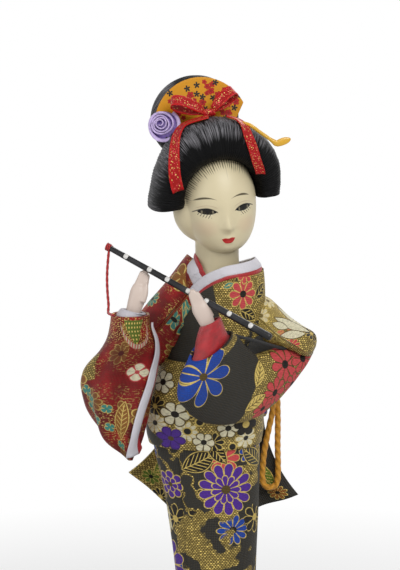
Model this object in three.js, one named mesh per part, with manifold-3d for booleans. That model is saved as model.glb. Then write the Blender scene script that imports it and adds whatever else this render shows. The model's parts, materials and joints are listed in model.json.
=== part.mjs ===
// A geisha doll holding a flute, on a lacquered stand. Millimetres, +Z up, the doll faces -Y.
// Heights in the doll are measured from the top of the stand.
// Right and left are the doll's own sides, so its right arm is at -X.
import * as THREE from "three";
import { mergeVertices } from "three/addons/utils/BufferGeometryUtils.js";
import Module from "manifold-3d";

const wasm = await Module();
wasm.setup();

// Clearances and cloth
const FIT_GAP = 0.3;
const CLOTH = 0.9;
const FORMER_GAP = 0.7;
const LAYER_GAP = 0.45;
const COLLAR_CLOTH = 0.7;
const SLEEVE_CLOTH = 1.1;
const OBI_CLOTH = 1.3;

// Stand
const BASE_WIDTH = 116;
const BASE_DEPTH = 124;
const BASE_THICKNESS = 14;
const BASE_CORNER = 16;
const BASE_BEVEL = 1.6;
const FELT_THICKNESS = 1;
const FELT_INSET = 3;
const ROD_DIAMETER = 4;
const WASHER_DIAMETER = 11;
const WASHER_THICKNESS = 0.8;
const NUT_ACROSS_CORNERS = 8;
const NUT_HEIGHT = 3.2;
const RECESS_DEPTH = 6;

// Body former: heights above the stand, each from the one below it, and half sizes at those heights
const KNEE_HEIGHT = 90;
const HIP_RISE = 80;
const WAIST_RISE = 30;
const CHEST_RISE = 30;
const SHOULDER_RISE = 23;
const COLLAR_RISE = 15;
const CHIN_RISE = 0.4;
const HIP_HEIGHT = KNEE_HEIGHT + HIP_RISE;
const WAIST_HEIGHT = HIP_HEIGHT + WAIST_RISE;
const CHEST_HEIGHT = WAIST_HEIGHT + CHEST_RISE;
const SHOULDER_HEIGHT = CHEST_HEIGHT + SHOULDER_RISE;
const COLLAR_HEIGHT = SHOULDER_HEIGHT + COLLAR_RISE;
const CHIN_HEIGHT = COLLAR_HEIGHT + CHIN_RISE;
const HEM_HALF_WIDTH = 24;
const KNEE_HALF_WIDTH = 15.5;
const HIP_HALF_WIDTH = 20.3;
const WAIST_HALF_WIDTH = 19.8;
const CHEST_HALF_WIDTH = 17;
const SHOULDER_HALF_WIDTH = 15.2;
const COLLAR_HALF_WIDTH = 12.6;
const HEM_HALF_DEPTH = 26;
const HIP_HALF_DEPTH = 16;
const CHEST_HALF_DEPTH = 14;
const HIP_SWAY = -3;
const NECK_SWAY = 2.5;
const NECK_SET_BACK = 2;

// Collars
const COLLAR_SHOW = 5.2;
const PIPING_SHOW = 1;

// Skirt, obi and bow
const HEM_FLARE = 11;
const TRAIN_FLARE = 9;
const FOLD_DEPTH = 3.4;
const FOLD_COUNT = 11;
const FOLD_TOP_HEIGHT = 135;
const OBI_HEIGHT = 40;
const BOW_WIDTH = 48;
const BOW_HEIGHT = 40;
const BOW_DEPTH = 15;
const TAIL_WIDTH = 19;
const TAIL_LENGTH = 36;
const TAIL_SPLAY = 13;
const OBI_CORD_DROP = 47;

// Head and neck
const HEAD_HALF_WIDTH = 16.6;
const HEAD_HALF_DEPTH = 18.4;
const HEAD_HALF_HEIGHT = 22.6;
const HEAD_WALL = 2.4;
const CHIN_FORWARD = 7;
const HEAD_YAW = 14;
const HEAD_PITCH = 5;
const HEAD_ROLL = -6.5;
const NECK_RADIUS = 9.4;
const NECK_FLARE = 2.2;
const PLUG_RADIUS = 4.6;
const EYE_HALF_WIDTH = 3.7;
const EYE_HALF_HEIGHT = 1.5;
const EYE_SPACING = 17.2;

// Hair
const HAIR_TOP_RISE = 36.5;
const HAIR_SIDE_REACH = 29;
const HAIR_FRONT_DEPTH = 20;
const HAIR_SIDE_DEPTH = 25;
const HAIR_WING_DROP = 0.5;
const HAIR_WING_ANGLE = 128;
const NAPE_DROP = 7;
const KNOT_HALF_WIDTH = 20.5;
const KNOT_HALF_HEIGHT = 17;
const KNOT_DEPTH = 24;

// Hair ornaments
const COMB_RADIUS = 26;
const COMB_HALF_ANGLE = 50;
const COMB_THICKNESS = 1.3;
const COMB_LEAN = 14;
const RIBBON_WIDTH = 6;
const RIBBON_THICKNESS = 0.7;
const BOW_LOOP_LENGTH = 17;
const BOW_LOOP_HALF = 4;
const BOW_KNOT_RADIUS = 2.1;
const ROSE_RADIUS = 7.2;
const ROSE_HEIGHT = 6;
const ROSE_TURNS = 3;
const ROSE_STEM_DIAMETER = 2;
const HAIRPIN_DIAMETER = 1.9;
const HAIRPIN_LENGTH = 27;
const HAIRPIN_SPOON = 6.5;

// Flute, hands and arms
const FLUTE_TIP_DIAMETER = 2.4;
const FLUTE_BUTT_DIAMETER = 3.3;
const FLUTE_BORE = 1.3;
const GRIP_SIDE = 30.8;
const GRIP_FORWARD = 28;
const GRIP_RISE = 11;
const FLUTE_TIP_REACH = 20.6;
const GRIP_SPACING = 27.9;
const FLUTE_BUTT_REACH = 34.6;
const CORD_DIAMETER = 1.2;
const OBI_CORD_DIAMETER = 1.8;
const HAND_LENGTH = 20.5;
const HAND_HALF_WIDTH = 3.7;
const HAND_HALF_THICKNESS = 2.6;
const WRIST_STUB = 5;
const RIGHT_WRIST_DROP = 6;
const RIGHT_PALM_BEHIND = 2.4;
const LEFT_PALM_IN_FRONT = 2.6;
const ELBOW_FORWARD = 3.5;
const RIGHT_ELBOW_SIDE = 35;
const RIGHT_ELBOW_DROP = 28;
const LEFT_ELBOW_SIDE = 36.5;
const LEFT_ELBOW_DROP = 31;
const LEFT_SHOULDER_DROP = 11;
const ARM_WIRE_DIAMETER = 1.6;
const WADDING_RADIUS = 4.4;
const UPPER_SLEEVE_RADIUS = 8.8;
const RIGHT_BAG_DROP = 70;
const RIGHT_BAG_HALF_WIDTH = 15.4;
const RIGHT_BAG_HALF_DEPTH = 11.5;
const RIGHT_CUFF_RADIUS = 8.4;
const LEFT_BAG_DROP = 46;
const LEFT_BAG_HALF_DEPTH = 7.4;
const LEFT_BAG_TILT = 0.2;
const LINING_WIDTH = 5;

// Small tools
const DEG = Math.PI / 180;
const ROUND_SIDES = 12;
const FORMER_SIDES = 16;
const OBI_COLUMNS = 30;
const vec = (x, y, z) => new THREE.Vector3(x, y, z);
const lerp = THREE.MathUtils.lerp;
const smooth = THREE.MathUtils.smoothstep;

// A value that runs smoothly through rows of [position, value, value, ...].
function track(rows) {
  const size = rows[0].length - 1;
  const places = rows.map((row) => row[0]);
  const values = rows.flatMap((row) => row.slice(1));
  const curve = new THREE.CubicInterpolant(places, values, size, new Float64Array(size));
  return (place) => [...curve.evaluate(THREE.MathUtils.clamp(place, places[0], places.at(-1)))];
}

// Evenly spaced numbers from one end to the other.
function steps(from, to, count) {
  return Array.from({ length: count + 1 }, (_, i) => lerp(from, to, i / count));
}

// Angles once round a ring.
function ringAngles(count) {
  return steps(0, 2 * Math.PI, count).slice(0, -1);
}

// A closed surface whose faces are turned outwards.
function closedSurface(points, faces) {
  let volume = 0;
  for (let i = 0; i < faces.length; i += 3) {
    const [a, b, c] = [points[faces[i]], points[faces[i + 1]], points[faces[i + 2]]];
    volume += a.dot(b.clone().cross(c));
  }
  const index = volume < 0 ? faces.toReversed() : faces;
  return new THREE.BufferGeometry().setFromPoints(points).setIndex(index);
}

// A solid through closed rings of points, capped at both ends.
function loft(rings) {
  const count = rings[0].length;
  const points = rings.flat();
  const faces = [];
  for (let i = 0; i + 1 < rings.length; i++) {
    for (let j = 0; j < count; j++) {
      const a = i * count + j;
      const b = i * count + ((j + 1) % count);
      faces.push(a, b, b + count, a, b + count, a + count);
    }
  }
  [rings[0], rings.at(-1)].forEach((ring, end) => {
    const start = end ? (rings.length - 1) * count : 0;
    const middle = points.push(centreOf(ring)) - 1;
    for (let j = 0; j < count; j++) {
      const pair = [start + j, start + ((j + 1) % count)];
      faces.push(middle, ...(end ? pair : pair.toReversed()));
    }
  });
  return closedSurface(points, faces);
}

function centreOf(ring) {
  return ring.reduce((sum, p) => sum.add(p), vec(0, 0, 0)).divideScalar(ring.length);
}

// A sheet between an inner and an outer grid of points, which may wrap round on itself.
function sheet(inner, outer, wraps = false) {
  const columns = inner[0].length;
  const skin = inner.length * columns;
  const span = wraps ? columns : columns - 1;
  const at = (i, j) => i * columns + (j % columns);
  const faces = [];
  const quad = (a, b, c, d) => faces.push(a, b, c, a, c, d);
  for (let i = 0; i + 1 < inner.length; i++) {
    for (let j = 0; j < span; j++) {
      const [a, b, c, d] = [at(i, j), at(i + 1, j), at(i + 1, j + 1), at(i, j + 1)];
      quad(a, b, c, d);
      quad(skin + c, skin + b, skin + a, skin + d);
    }
  }
  const rim = (a, b) => quad(b, a, skin + a, skin + b);
  for (let j = 0; j < span; j++) {
    rim(at(0, j + 1), at(0, j));
    rim(at(inner.length - 1, j), at(inner.length - 1, j + 1));
  }
  if (!wraps) {
    for (let i = 0; i + 1 < inner.length; i++) {
      rim(at(i, 0), at(i + 1, 0));
      rim(at(i + 1, columns - 1), at(i, columns - 1));
    }
  }
  return closedSurface([...inner.flat(), ...outer.flat()], faces);
}

// A patch of a surface, given as rows of [place, place], raised from it by a lift and a thickness.
function patch(surface, rows, lift, thickness, wraps = false) {
  const raised = (height) => rows.map((row) => row.map(([p, q]) => surface(p, q, height)));
  return sheet(raised(lift), raised(lift + thickness), wraps);
}

// A strip that follows a path of [place, place] over a surface. Its edges are given as distances
// to the right and to the left of the path, as numbers or as a function of the share along it.
function strip(surface, path, edges, lift, thickness, columns = 3) {
  const d = 0.01;
  const rows = path.map(([p, q], i) => {
    const [before, after] = [path[Math.max(i - 1, 0)], path[Math.min(i + 1, path.length - 1)]];
    const alongP = surface(p + d, q, lift).sub(surface(p - d, q, lift)).divideScalar(2 * d);
    const alongQ = surface(p, q + d, lift).sub(surface(p, q - d, lift)).divideScalar(2 * d);
    const tangent = surface(...after, lift).sub(surface(...before, lift)).normalize();
    const across = alongP.clone().cross(alongQ).normalize().cross(tangent);
    const [pp, qq, pq] = [alongP.dot(alongP), alongQ.dot(alongQ), alongP.dot(alongQ)];
    const [ap, aq] = [across.dot(alongP), across.dot(alongQ)];
    const area = pp * qq - pq * pq;
    const [stepP, stepQ] = [(ap * qq - aq * pq) / area, (aq * pp - ap * pq) / area];
    const [right, left] = typeof edges === "function" ? edges(i / (path.length - 1)) : edges;
    return steps(-right, left, columns).map((w) => [p + stepP * w, q + stepQ * w]);
  });
  return patch(surface, rows, lift, thickness);
}

// A tube along points with its own half sizes at each: [across, through].
function taperedTube(points, sizes, sides = ROUND_SIDES, side = vec(0, 0, 1)) {
  const rings = points.map((point, i) => {
    const before = points[Math.max(i - 1, 0)];
    const after = points[Math.min(i + 1, points.length - 1)];
    const tangent = after.clone().sub(before).normalize();
    const through = side.clone().cross(tangent).normalize();
    const across = tangent.clone().cross(through);
    const [wide, deep] = sizes[i];
    return ringAngles(sides).map((angle) =>
      point
        .clone()
        .addScaledVector(across, wide * Math.cos(angle))
        .addScaledVector(through, deep * Math.sin(angle)),
    );
  });
  return loft(rings);
}

// A round tube of one size along a smooth curve.
function roundTube(points, diameter, count, sides = 8) {
  const section = new THREE.Shape(
    ringAngles(sides).map((a) => new THREE.Vector2(Math.cos(a), Math.sin(a)).multiplyScalar(diameter / 2)),
  );
  const extrudePath = new THREE.CatmullRomCurve3(points, false, "centripetal");
  return new THREE.ExtrudeGeometry(section, { steps: count, extrudePath });
}

// A turned piece about Z, from [radius, height] points that start and end on the axis.
function turned(profile, sides = 24) {
  const points = profile.map(([radius, height]) => new THREE.Vector2(radius, height));
  return new THREE.LatheGeometry(points, sides).rotateX(90 * DEG);
}

function cylinder(radius, low, high, sides = 24) {
  return turned([[0, low], [radius, low], [radius, high], [0, high]], sides);
}

// Solids for cutting and joining
function toSolid(geometry) {
  const bare = geometry.clone();
  bare.deleteAttribute("normal");
  bare.deleteAttribute("uv");
  const merged = mergeVertices(bare, 1e-4);
  const vertProperties = new Float32Array(merged.getAttribute("position").array);
  const triVerts = new Uint32Array(merged.index.array);
  const solid = new wasm.Manifold(new wasm.Mesh({ numProp: 3, vertProperties, triVerts }));
  if (solid.volume() > 0) return solid;
  return new wasm.Manifold(new wasm.Mesh({ numProp: 3, vertProperties, triVerts: triVerts.toReversed() }));
}

function toGeometry(solid) {
  const { vertProperties, triVerts } = solid.getMesh();
  return new THREE.BufferGeometry()
    .setAttribute("position", new THREE.BufferAttribute(vertProperties, 3))
    .setIndex(new THREE.BufferAttribute(triVerts, 1));
}

// What is left of a piece after the cutters, its largest body where they split it.
function cut(geometry, ...cutters) {
  const left = cutters.reduce((solid, cutter) => solid.subtract(toSolid(cutter)), toSolid(geometry));
  const bodies = left.decompose();
  return toGeometry(bodies.reduce((best, body) => (body.volume() > best.volume() ? body : best)));
}

function join(...geometries) {
  return toGeometry(geometries.map(toSolid).reduce((all, solid) => all.add(solid)));
}

// Finishes
const finish = (color, roughness, metalness = 0) => ({ color, roughness, metalness });
const FINISHES = {
  lacquer: finish(0x101012, 0.18),
  felt: finish(0x1d3326, 0.95),
  steel: finish(0xa8abb0, 0.35, 1),
  foam: finish(0xe9e6dc, 0.9),
  wood: finish(0xc8a877, 0.7),
  skin: finish(0xd9cfae, 0.45),
  eyes: finish(0x2a1512, 0.08),
  hair: finish(0x0c0c0e, 0.4),
  comb: finish(0xd99a10, 0.4),
  ribbon: finish(0xc41a1e, 0.5),
  rose: finish(0xb9a0e0, 0.55),
  pin: finish(0xf0b818, 0.35),
  flute: finish(0x16181b, 0.3),
  redCord: finish(0x9a1524, 0.7),
  goldCord: finish(0xc98a12, 0.6),
  whiteCloth: finish(0xdedade, 0.8),
  redCloth: finish(0xc4141f, 0.6),
  redBrocade: finish(0x9c1218, 0.55),
  darkBrocade: finish(0x2a2a28, 0.6),
  goldBrocade: finish(0x9c8330, 0.5, 0.4),
};

const doll = new THREE.Group();
doll.position.z = FELT_THICKNESS + BASE_THICKNESS;
const part = new THREE.Group();
part.add(doll);

function add(name, look, geometry, parent = doll) {
  const mesh = new THREE.Mesh(geometry, new THREE.MeshStandardMaterial(FINISHES[look]));
  mesh.name = name;
  parent.add(mesh);
  return mesh;
}

// Body former: a sway to the side, a set-back, and half sizes at each height
const obiLow = WAIST_HEIGHT - OBI_HEIGHT / 2;
const obiHigh = WAIST_HEIGHT + OBI_HEIGHT / 2;
const shinAt = (hem) => lerp(hem, KNEE_HALF_WIDTH, 0.7);
const bodyAt = track([
  [0, 0, 4, HEM_HALF_WIDTH, HEM_HALF_DEPTH],
  [KNEE_HEIGHT / 2, 0, 2, shinAt(HEM_HALF_WIDTH), shinAt(HEM_HALF_DEPTH)],
  [KNEE_HEIGHT, 0, 1, KNEE_HALF_WIDTH, KNEE_HALF_WIDTH],
  [HIP_HEIGHT, HIP_SWAY, 0, HIP_HALF_WIDTH, HIP_HALF_DEPTH],
  [WAIST_HEIGHT, HIP_SWAY, 0, WAIST_HALF_WIDTH, HIP_HALF_DEPTH],
  [CHEST_HEIGHT, 0, 0, CHEST_HALF_WIDTH, CHEST_HALF_DEPTH],
  [SHOULDER_HEIGHT, 0.6 * NECK_SWAY, 0.3 * NECK_SET_BACK, SHOULDER_HALF_WIDTH, CHEST_HALF_DEPTH - 1],
  [COLLAR_HEIGHT, NECK_SWAY, NECK_SET_BACK, COLLAR_HALF_WIDTH, CHEST_HALF_DEPTH - 2],
]);

// A point of the former at an angle in degrees (0 is the doll's left, -90 its front), lifted off it.
function bodySurface(angle, height, lift) {
  const [sway, back, wide, deep] = bodyAt(height);
  const [c, s] = [Math.cos(angle * DEG), Math.sin(angle * DEG)];
  const radius = (wide * deep) / Math.hypot(deep * c, wide * s) + lift;
  return vec(sway + radius * c, back + radius * s, height);
}

function bodySolid(low, high, count, lift, sides = OBI_COLUMNS) {
  const angles = steps(0, 360, sides).slice(0, -1);
  return loft(steps(low, high, count).map((z) => angles.map((angle) => bodySurface(angle, z, lift))));
}

// Lifts of the clothes, from the former outwards
const rightCollarLift = FIT_GAP;
const rightBodiceLift = rightCollarLift + COLLAR_CLOTH + LAYER_GAP;
const leftCollarLift = rightBodiceLift + CLOTH + LAYER_GAP;
const leftBodiceLift = leftCollarLift + COLLAR_CLOTH + LAYER_GAP;
const obiLift = leftBodiceLift + CLOTH + LAYER_GAP;
const skirtLift = FIT_GAP;
const overlapLift = skirtLift + CLOTH + FIT_GAP;

// Stand: a board with rounded corners, a felt under it, and the rod with its washer and nut
function roundedBoard(width, depth, corner) {
  const [x, y] = [width / 2 - corner, depth / 2 - corner];
  const board = new THREE.Shape();
  board.absarc(x, y, corner, 0, 90 * DEG);
  board.absarc(-x, y, corner, 90 * DEG, 180 * DEG);
  board.absarc(-x, -y, corner, 180 * DEG, 270 * DEG);
  board.absarc(x, -y, corner, 270 * DEG, 360 * DEG);
  return board;
}

const rodRadius = ROD_DIAMETER / 2;
const rodBore = rodRadius + FIT_GAP;
const nutTop = FELT_THICKNESS + FIT_GAP + NUT_HEIGHT;
const recessTop = FELT_THICKNESS + RECESS_DEPTH;
const rodTop = lerp(SHOULDER_HEIGHT, COLLAR_HEIGHT, 0.9);

function makeStand() {
  const board = new THREE.ExtrudeGeometry(
    roundedBoard(BASE_WIDTH - 2 * BASE_BEVEL, BASE_DEPTH - 2 * BASE_BEVEL, BASE_CORNER - BASE_BEVEL),
    {
      depth: BASE_THICKNESS - 2 * BASE_BEVEL,
      bevelThickness: BASE_BEVEL,
      bevelSize: BASE_BEVEL,
      bevelSegments: 1,
      curveSegments: 3,
    },
  ).translate(0, 0, FELT_THICKNESS + BASE_BEVEL);
  const recess = cylinder(WASHER_DIAMETER / 2 + FIT_GAP, 0, recessTop);
  const hole = cylinder(rodBore, 0, FELT_THICKNESS + 2 * BASE_THICKNESS);
  add("stand_base", "lacquer", cut(board, recess, hole), part);
  const [feltWidth, feltDepth] = [BASE_WIDTH - 2 * FELT_INSET, BASE_DEPTH - 2 * FELT_INSET];
  const felt = roundedBoard(feltWidth, feltDepth, BASE_CORNER - FELT_INSET);
  const feltSheet = new THREE.ExtrudeGeometry(felt, {
    depth: FELT_THICKNESS,
    bevelEnabled: false,
    curveSegments: 3,
  });
  add("base_felt", "felt", feltSheet, part);
  const washerLow = recessTop - FIT_GAP - WASHER_THICKNESS;
  const washer = cylinder(WASHER_DIAMETER / 2, washerLow, washerLow + WASHER_THICKNESS);
  add("rod_washer", "steel", cut(washer, hole), part);
  const nut = cylinder(NUT_ACROSS_CORNERS / 2, nutTop - NUT_HEIGHT, washerLow - FIT_GAP, 6);
  add("rod_nut", "steel", cut(nut, hole), part);
  const rod = cylinder(rodRadius, FELT_THICKNESS + FIT_GAP, doll.position.z + rodTop, 12);
  add("support_rod", "steel", rod, part);
}

// Arms: the flute is the line that both hands hold, and each wire runs shoulder, elbow, wrist
const RIGHT_GRIP = vec(-GRIP_SIDE, -GRIP_FORWARD, SHOULDER_HEIGHT + GRIP_RISE);
const fluteDirection = vec(0.855, -0.288, -0.431).normalize();
const fluteAt = (reach) => RIGHT_GRIP.clone().addScaledVector(fluteDirection, reach);
const LEFT_GRIP = fluteAt(GRIP_SPACING);
const rightHandDirection = vec(0.3, 0.14, 0.95).normalize();
const leftHandDirection = vec(-0.42, 0.02, 0.9).normalize();
const palmReach = 0.72 * HAND_LENGTH;
const rightWrist = RIGHT_GRIP.clone()
  .addScaledVector(rightHandDirection, -palmReach - RIGHT_WRIST_DROP)
  .add(vec(0, RIGHT_PALM_BEHIND, 0));
const leftWrist = LEFT_GRIP.clone()
  .addScaledVector(leftHandDirection, -palmReach)
  .add(vec(0, -LEFT_PALM_IN_FRONT, 0));
const rightShoulder = vec(-0.72 * SHOULDER_HALF_WIDTH, 0, SHOULDER_HEIGHT);
const leftShoulder = vec(0.9 * SHOULDER_HALF_WIDTH, 0, SHOULDER_HEIGHT - LEFT_SHOULDER_DROP);
const rightElbow = vec(-RIGHT_ELBOW_SIDE, -ELBOW_FORWARD, SHOULDER_HEIGHT - RIGHT_ELBOW_DROP);
const leftElbow = vec(LEFT_ELBOW_SIDE, -ELBOW_FORWARD, SHOULDER_HEIGHT - LEFT_ELBOW_DROP);

const armPath = (shoulder, elbow, wrist) => [
  shoulder.clone().lerp(elbow, 0.12),
  shoulder.clone().lerp(elbow, 0.55),
  elbow.clone().lerp(shoulder, 0.12),
  elbow.clone().lerp(wrist, 0.12),
  elbow.clone().lerp(wrist, 0.55),
  wrist,
];
const rightArm = armPath(rightShoulder, rightElbow, rightWrist);
const leftArm = armPath(leftShoulder, leftElbow, leftWrist);

// The flute with a grown radius, for the piece itself and for the grips cut round it.
function fluteSolid(grow) {
  const ends = [-FLUTE_TIP_REACH - grow, GRIP_SPACING + FLUTE_BUTT_REACH + grow];
  const sizes = [FLUTE_TIP_DIAMETER / 2 + grow, FLUTE_BUTT_DIAMETER / 2 + grow].map((r) => [r, r]);
  return taperedTube(ends.map(fluteAt), sizes, 12);
}

function makeFlute() {
  const bore = [GRIP_SPACING - 6, GRIP_SPACING + FLUTE_BUTT_REACH + 1].map(fluteAt);
  const boreSize = [FLUTE_BORE / 2, FLUTE_BORE / 2];
  add("flute", "flute", cut(fluteSolid(0), taperedTube(bore, [boreSize, boreSize], 8)));
  // A turn of the cord, knotted round the tip
  const knotReach = -FLUTE_TIP_REACH + CORD_DIAMETER;
  const knotMiddle = fluteAt(knotReach);
  const knotRadius = FLUTE_TIP_DIAMETER / 2 + CORD_DIAMETER;
  const knotEnds = [-1, 1].map((side) => fluteAt(knotReach + side * CORD_DIAMETER * 0.9));
  const barrel = [knotEnds[0], knotMiddle, knotEnds[1]];
  const barrelSizes = [0.82, 1, 0.82].map((share) => [share * knotRadius, share * knotRadius]);
  add("flute_cord_knot", "redCord", cut(taperedTube(barrel, barrelSizes, 12), fluteSolid(FIT_GAP / 3)));
  // The free cord hangs from the knot and goes part of the way round the cuff of the right sleeve
  const cordTop = knotMiddle.clone().add(vec(0, 0, -knotRadius - FIT_GAP));
  const roundCuff = (angle, rise) => {
    const reach = RIGHT_CUFF_RADIUS + 2.2;
    return rightWrist.clone().add(vec(reach * Math.cos(angle * DEG), reach * Math.sin(angle * DEG), rise));
  };
  const cordLow = roundCuff(172, 3.4);
  const hanging = steps(0, 1, 5).map((t) => {
    const slack = vec(-0.7, 0.2, 0).multiplyScalar(Math.sin(Math.PI * t));
    return cordTop.clone().lerp(cordLow, t).add(slack);
  });
  const atCuff = [[174.2, 1.9], [180.1, 0.8], [188.2, 0.4], [200, 0.4], [212, 0.4], [222, 0.4]];
  const cordPoints = [...hanging, ...atCuff.map(([angle, rise]) => roundCuff(angle, rise))];
  add("flute_cord", "redCord", roundTube(cordPoints, CORD_DIAMETER, 22));
}

// A hand: wrist, palm and closed fingers, and a thumb beside them
const RIGHT_HAND = {
  wrist: rightWrist,
  direction: rightHandDirection,
  long: HAND_LENGTH,
  thumb: vec(2.6, -1.5, 0),
};
const LEFT_HAND = {
  wrist: leftWrist,
  direction: leftHandDirection,
  long: HAND_LENGTH - 2,
  thumb: vec(2.6, 1.5, 0),
};

function palmSolid({ wrist, direction, long }, grow) {
  const reaches = [-WRIST_STUB - grow, 0, 0.3 * long, 0.55 * long, 0.8 * long, long + grow];
  const shares = [0.8, 0.82, 1.05, 1.08, 0.88, 0.45];
  const points = reaches.map((reach) => wrist.clone().addScaledVector(direction, reach));
  const sizes = shares.map((share) => [share * HAND_HALF_THICKNESS + grow, share * HAND_HALF_WIDTH + grow]);
  return taperedTube(points, sizes, 12, vec(0, 1, 0));
}

function makeHand(name, hand, wire) {
  const { wrist, direction, long, thumb } = hand;
  const root = wrist.clone().addScaledVector(direction, 0.3 * long).add(thumb);
  const thumbPoints = [0, 0.22, 0.42].map((share) => root.clone().addScaledVector(direction, share * long));
  thumbPoints[2].addScaledVector(thumb, -0.3);
  const thumbSizes = [1.5, 1.4, 0.9].map((size) => [size, size]);
  const whole = join(palmSolid(hand, 0), taperedTube(thumbPoints, thumbSizes, 8, vec(0, 1, 0)));
  add(name, "skin", cut(whole, fluteSolid(FIT_GAP), wireTube(wire, FIT_GAP)));
}

// An arm wire ends inside its hand.
function wireTube(path, grow) {
  return roundTube(path, ARM_WIRE_DIAMETER + 2 * grow, 12, 6);
}

// The wadding round an arm, grown by a gap for the sleeves cut round it
function armSolid(path, grow) {
  const curve = new THREE.CatmullRomCurve3(path, false, "centripetal");
  const [from, to] = [0.05, 0.4];
  const along = steps(from, to, 5).map((t) => curve.getPoint(t));
  along[0].addScaledVector(curve.getTangent(from), -grow);
  along.at(-1).addScaledVector(curve.getTangent(to), grow);
  const radius = WADDING_RADIUS + grow;
  return taperedTube(along, along.map(() => [radius, radius]), 10, vec(0, 1, 0));
}

const armCutter = (path) => join(armSolid(path, FIT_GAP), wireTube(path, FIT_GAP));

function makeArm(side, path) {
  add(`arm_wire_${side}`, "steel", wireTube(path, 0));
  const cutters = [wireTube(path, FIT_GAP), clothedBody(FIT_GAP)];
  add(`arm_wadding_${side}`, "foam", cut(armSolid(path, 0), ...cutters));
}

// The dressed body as one cutter, grown by a gap: bodice height and obi height
function clothedBody(gap) {
  const obi = bodySolid(obiLow - gap, obiHigh + gap, 6, obiLift + OBI_CLOTH + gap);
  const bodice = bodySolid(obiHigh - 5, COLLAR_HEIGHT + gap, 8, leftBodiceLift + CLOTH + gap);
  return join(obi, bodice);
}

// Formers of foam, bored for the rod and for the ends of the arm wires
function makeFormers() {
  const bore = cylinder(rodBore, -1, COLLAR_HEIGHT, 12);
  const split = HIP_HEIGHT;
  add("lower_former", "foam", cut(bodySolid(FIT_GAP, split - FIT_GAP, 7, -FORMER_GAP, FORMER_SIDES), bore));
  const torso = bodySolid(split, SHOULDER_HEIGHT, 5, -FORMER_GAP, FORMER_SIDES);
  const sockets = [rightArm, leftArm].map((path) => wireTube(path, FIT_GAP));
  add("torso_former", "foam", cut(torso, bore, ...sockets));
  const plugTop = rodTop + 2;
  const plug = cylinder(PLUG_RADIUS, SHOULDER_HEIGHT + FIT_GAP, plugTop);
  const plugBore = cylinder(rodBore, 0, rodTop + FIT_GAP, 12);
  add("neck_plug", "wood", cut(plug, plugBore));
}

// Head: a hollow shell in its own turned frame, joined to a neck that is round about the turning axis
const headCentre = vec(0.5, -1.5, CHIN_HEIGHT + HEAD_HALF_HEIGHT);
const headFrame = new THREE.Matrix4()
  .makeRotationFromEuler(new THREE.Euler(HEAD_PITCH * DEG, HEAD_ROLL * DEG, HEAD_YAW * DEG, "ZXY"))
  .setPosition(headCentre);
const inHeadFrame = (geometry) => geometry.applyMatrix4(headFrame);

// A point of the head at a longitude (0 is the face) and a latitude in radians, lifted off it.
function headSurface(longitude, latitude, lift) {
  const [x, y] = [Math.sin(longitude) * Math.cos(latitude), -Math.cos(longitude) * Math.cos(latitude)];
  const z = Math.sin(latitude);
  const jaw = z < 0 ? 1 - 0.34 * Math.pow(-z, 1.6) : 1;
  const forward = z < 0 ? CHIN_FORWARD * z * z : 0;
  const nose = 2.4 * Math.exp(-((x * 5) ** 2) - ((z + 0.3) * 6) ** 2) * (y < 0 ? 1 : 0);
  return vec(
    x * (HEAD_HALF_WIDTH * jaw + lift),
    y * (HEAD_HALF_DEPTH + lift + nose) - forward,
    z * (HEAD_HALF_HEIGHT + lift),
  );
}

function headSolid(lift, columns = 22, rows = 12) {
  const pole = 89.5 * DEG;
  const longitudes = ringAngles(columns);
  return loft(steps(-pole, pole, rows).map((v) => longitudes.map((u) => headSurface(u, v, lift))));
}

// A half-sunk almond eye on one side of the face.
function eyeSolid(side, grow) {
  const eye = new THREE.SphereGeometry(1, 10, 6);
  eye.scale(EYE_HALF_WIDTH + grow, 2.2 + grow, EYE_HALF_HEIGHT + grow);
  const longitude = Math.asin(EYE_SPACING / 2 / HEAD_HALF_WIDTH);
  const place = headSurface(side * longitude, -0.04, -1.7);
  eye.rotateZ(side * longitude * 0.75);
  return eye.translate(place.x, place.y, place.z);
}

const neckLow = SHOULDER_HEIGHT + FIT_GAP;
const neckProfile = (grow) => [
  [0, neckLow - grow],
  [NECK_RADIUS + NECK_FLARE + grow, neckLow - grow],
  [NECK_RADIUS + 0.7 * NECK_FLARE + grow, neckLow + 3],
  [NECK_RADIUS + 0.15 * NECK_FLARE + grow, neckLow + 7],
  [NECK_RADIUS + grow, neckLow + 11],
  [NECK_RADIUS + grow, CHIN_HEIGHT + 9],
  [0, CHIN_HEIGHT + 9],
];

function makeHead() {
  const skull = inHeadFrame(headSolid(0));
  const hollow = inHeadFrame(headSolid(-HEAD_WALL, 12, 7));
  const neckBore = cylinder(PLUG_RADIUS + FIT_GAP, SHOULDER_HEIGHT - 1, CHIN_HEIGHT + 14);
  const sockets = [-1, 1].map((side) => inHeadFrame(eyeSolid(side, FIT_GAP / 2)));
  add("head", "skin", cut(join(skull, turned(neckProfile(0))), hollow, neckBore, ...sockets));
  add("eye_right", "eyes", cut(inHeadFrame(eyeSolid(-1, 0)), hollow));
  add("eye_left", "eyes", cut(inHeadFrame(eyeSolid(1, 0)), hollow));
}

// Hair: a roll that arches round the face, described by rings about the face's axis
const hairRing = track([
  [0, HEAD_HALF_HEIGHT - 3, HAIR_TOP_RISE, -16.5, HAIR_FRONT_DEPTH - 16.5],
  [45, HEAD_HALF_HEIGHT - 4.4, lerp(HAIR_TOP_RISE, HAIR_SIDE_REACH, 0.5), -14.5, HAIR_FRONT_DEPTH - 11.5],
  [90, HEAD_HALF_WIDTH - 1.2, HAIR_SIDE_REACH, -9, HAIR_SIDE_DEPTH - 9],
  [HAIR_WING_ANGLE, HEAD_HALF_WIDTH - 2, HAIR_SIDE_REACH + 4, -7, HAIR_SIDE_DEPTH - 9],
]);

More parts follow.
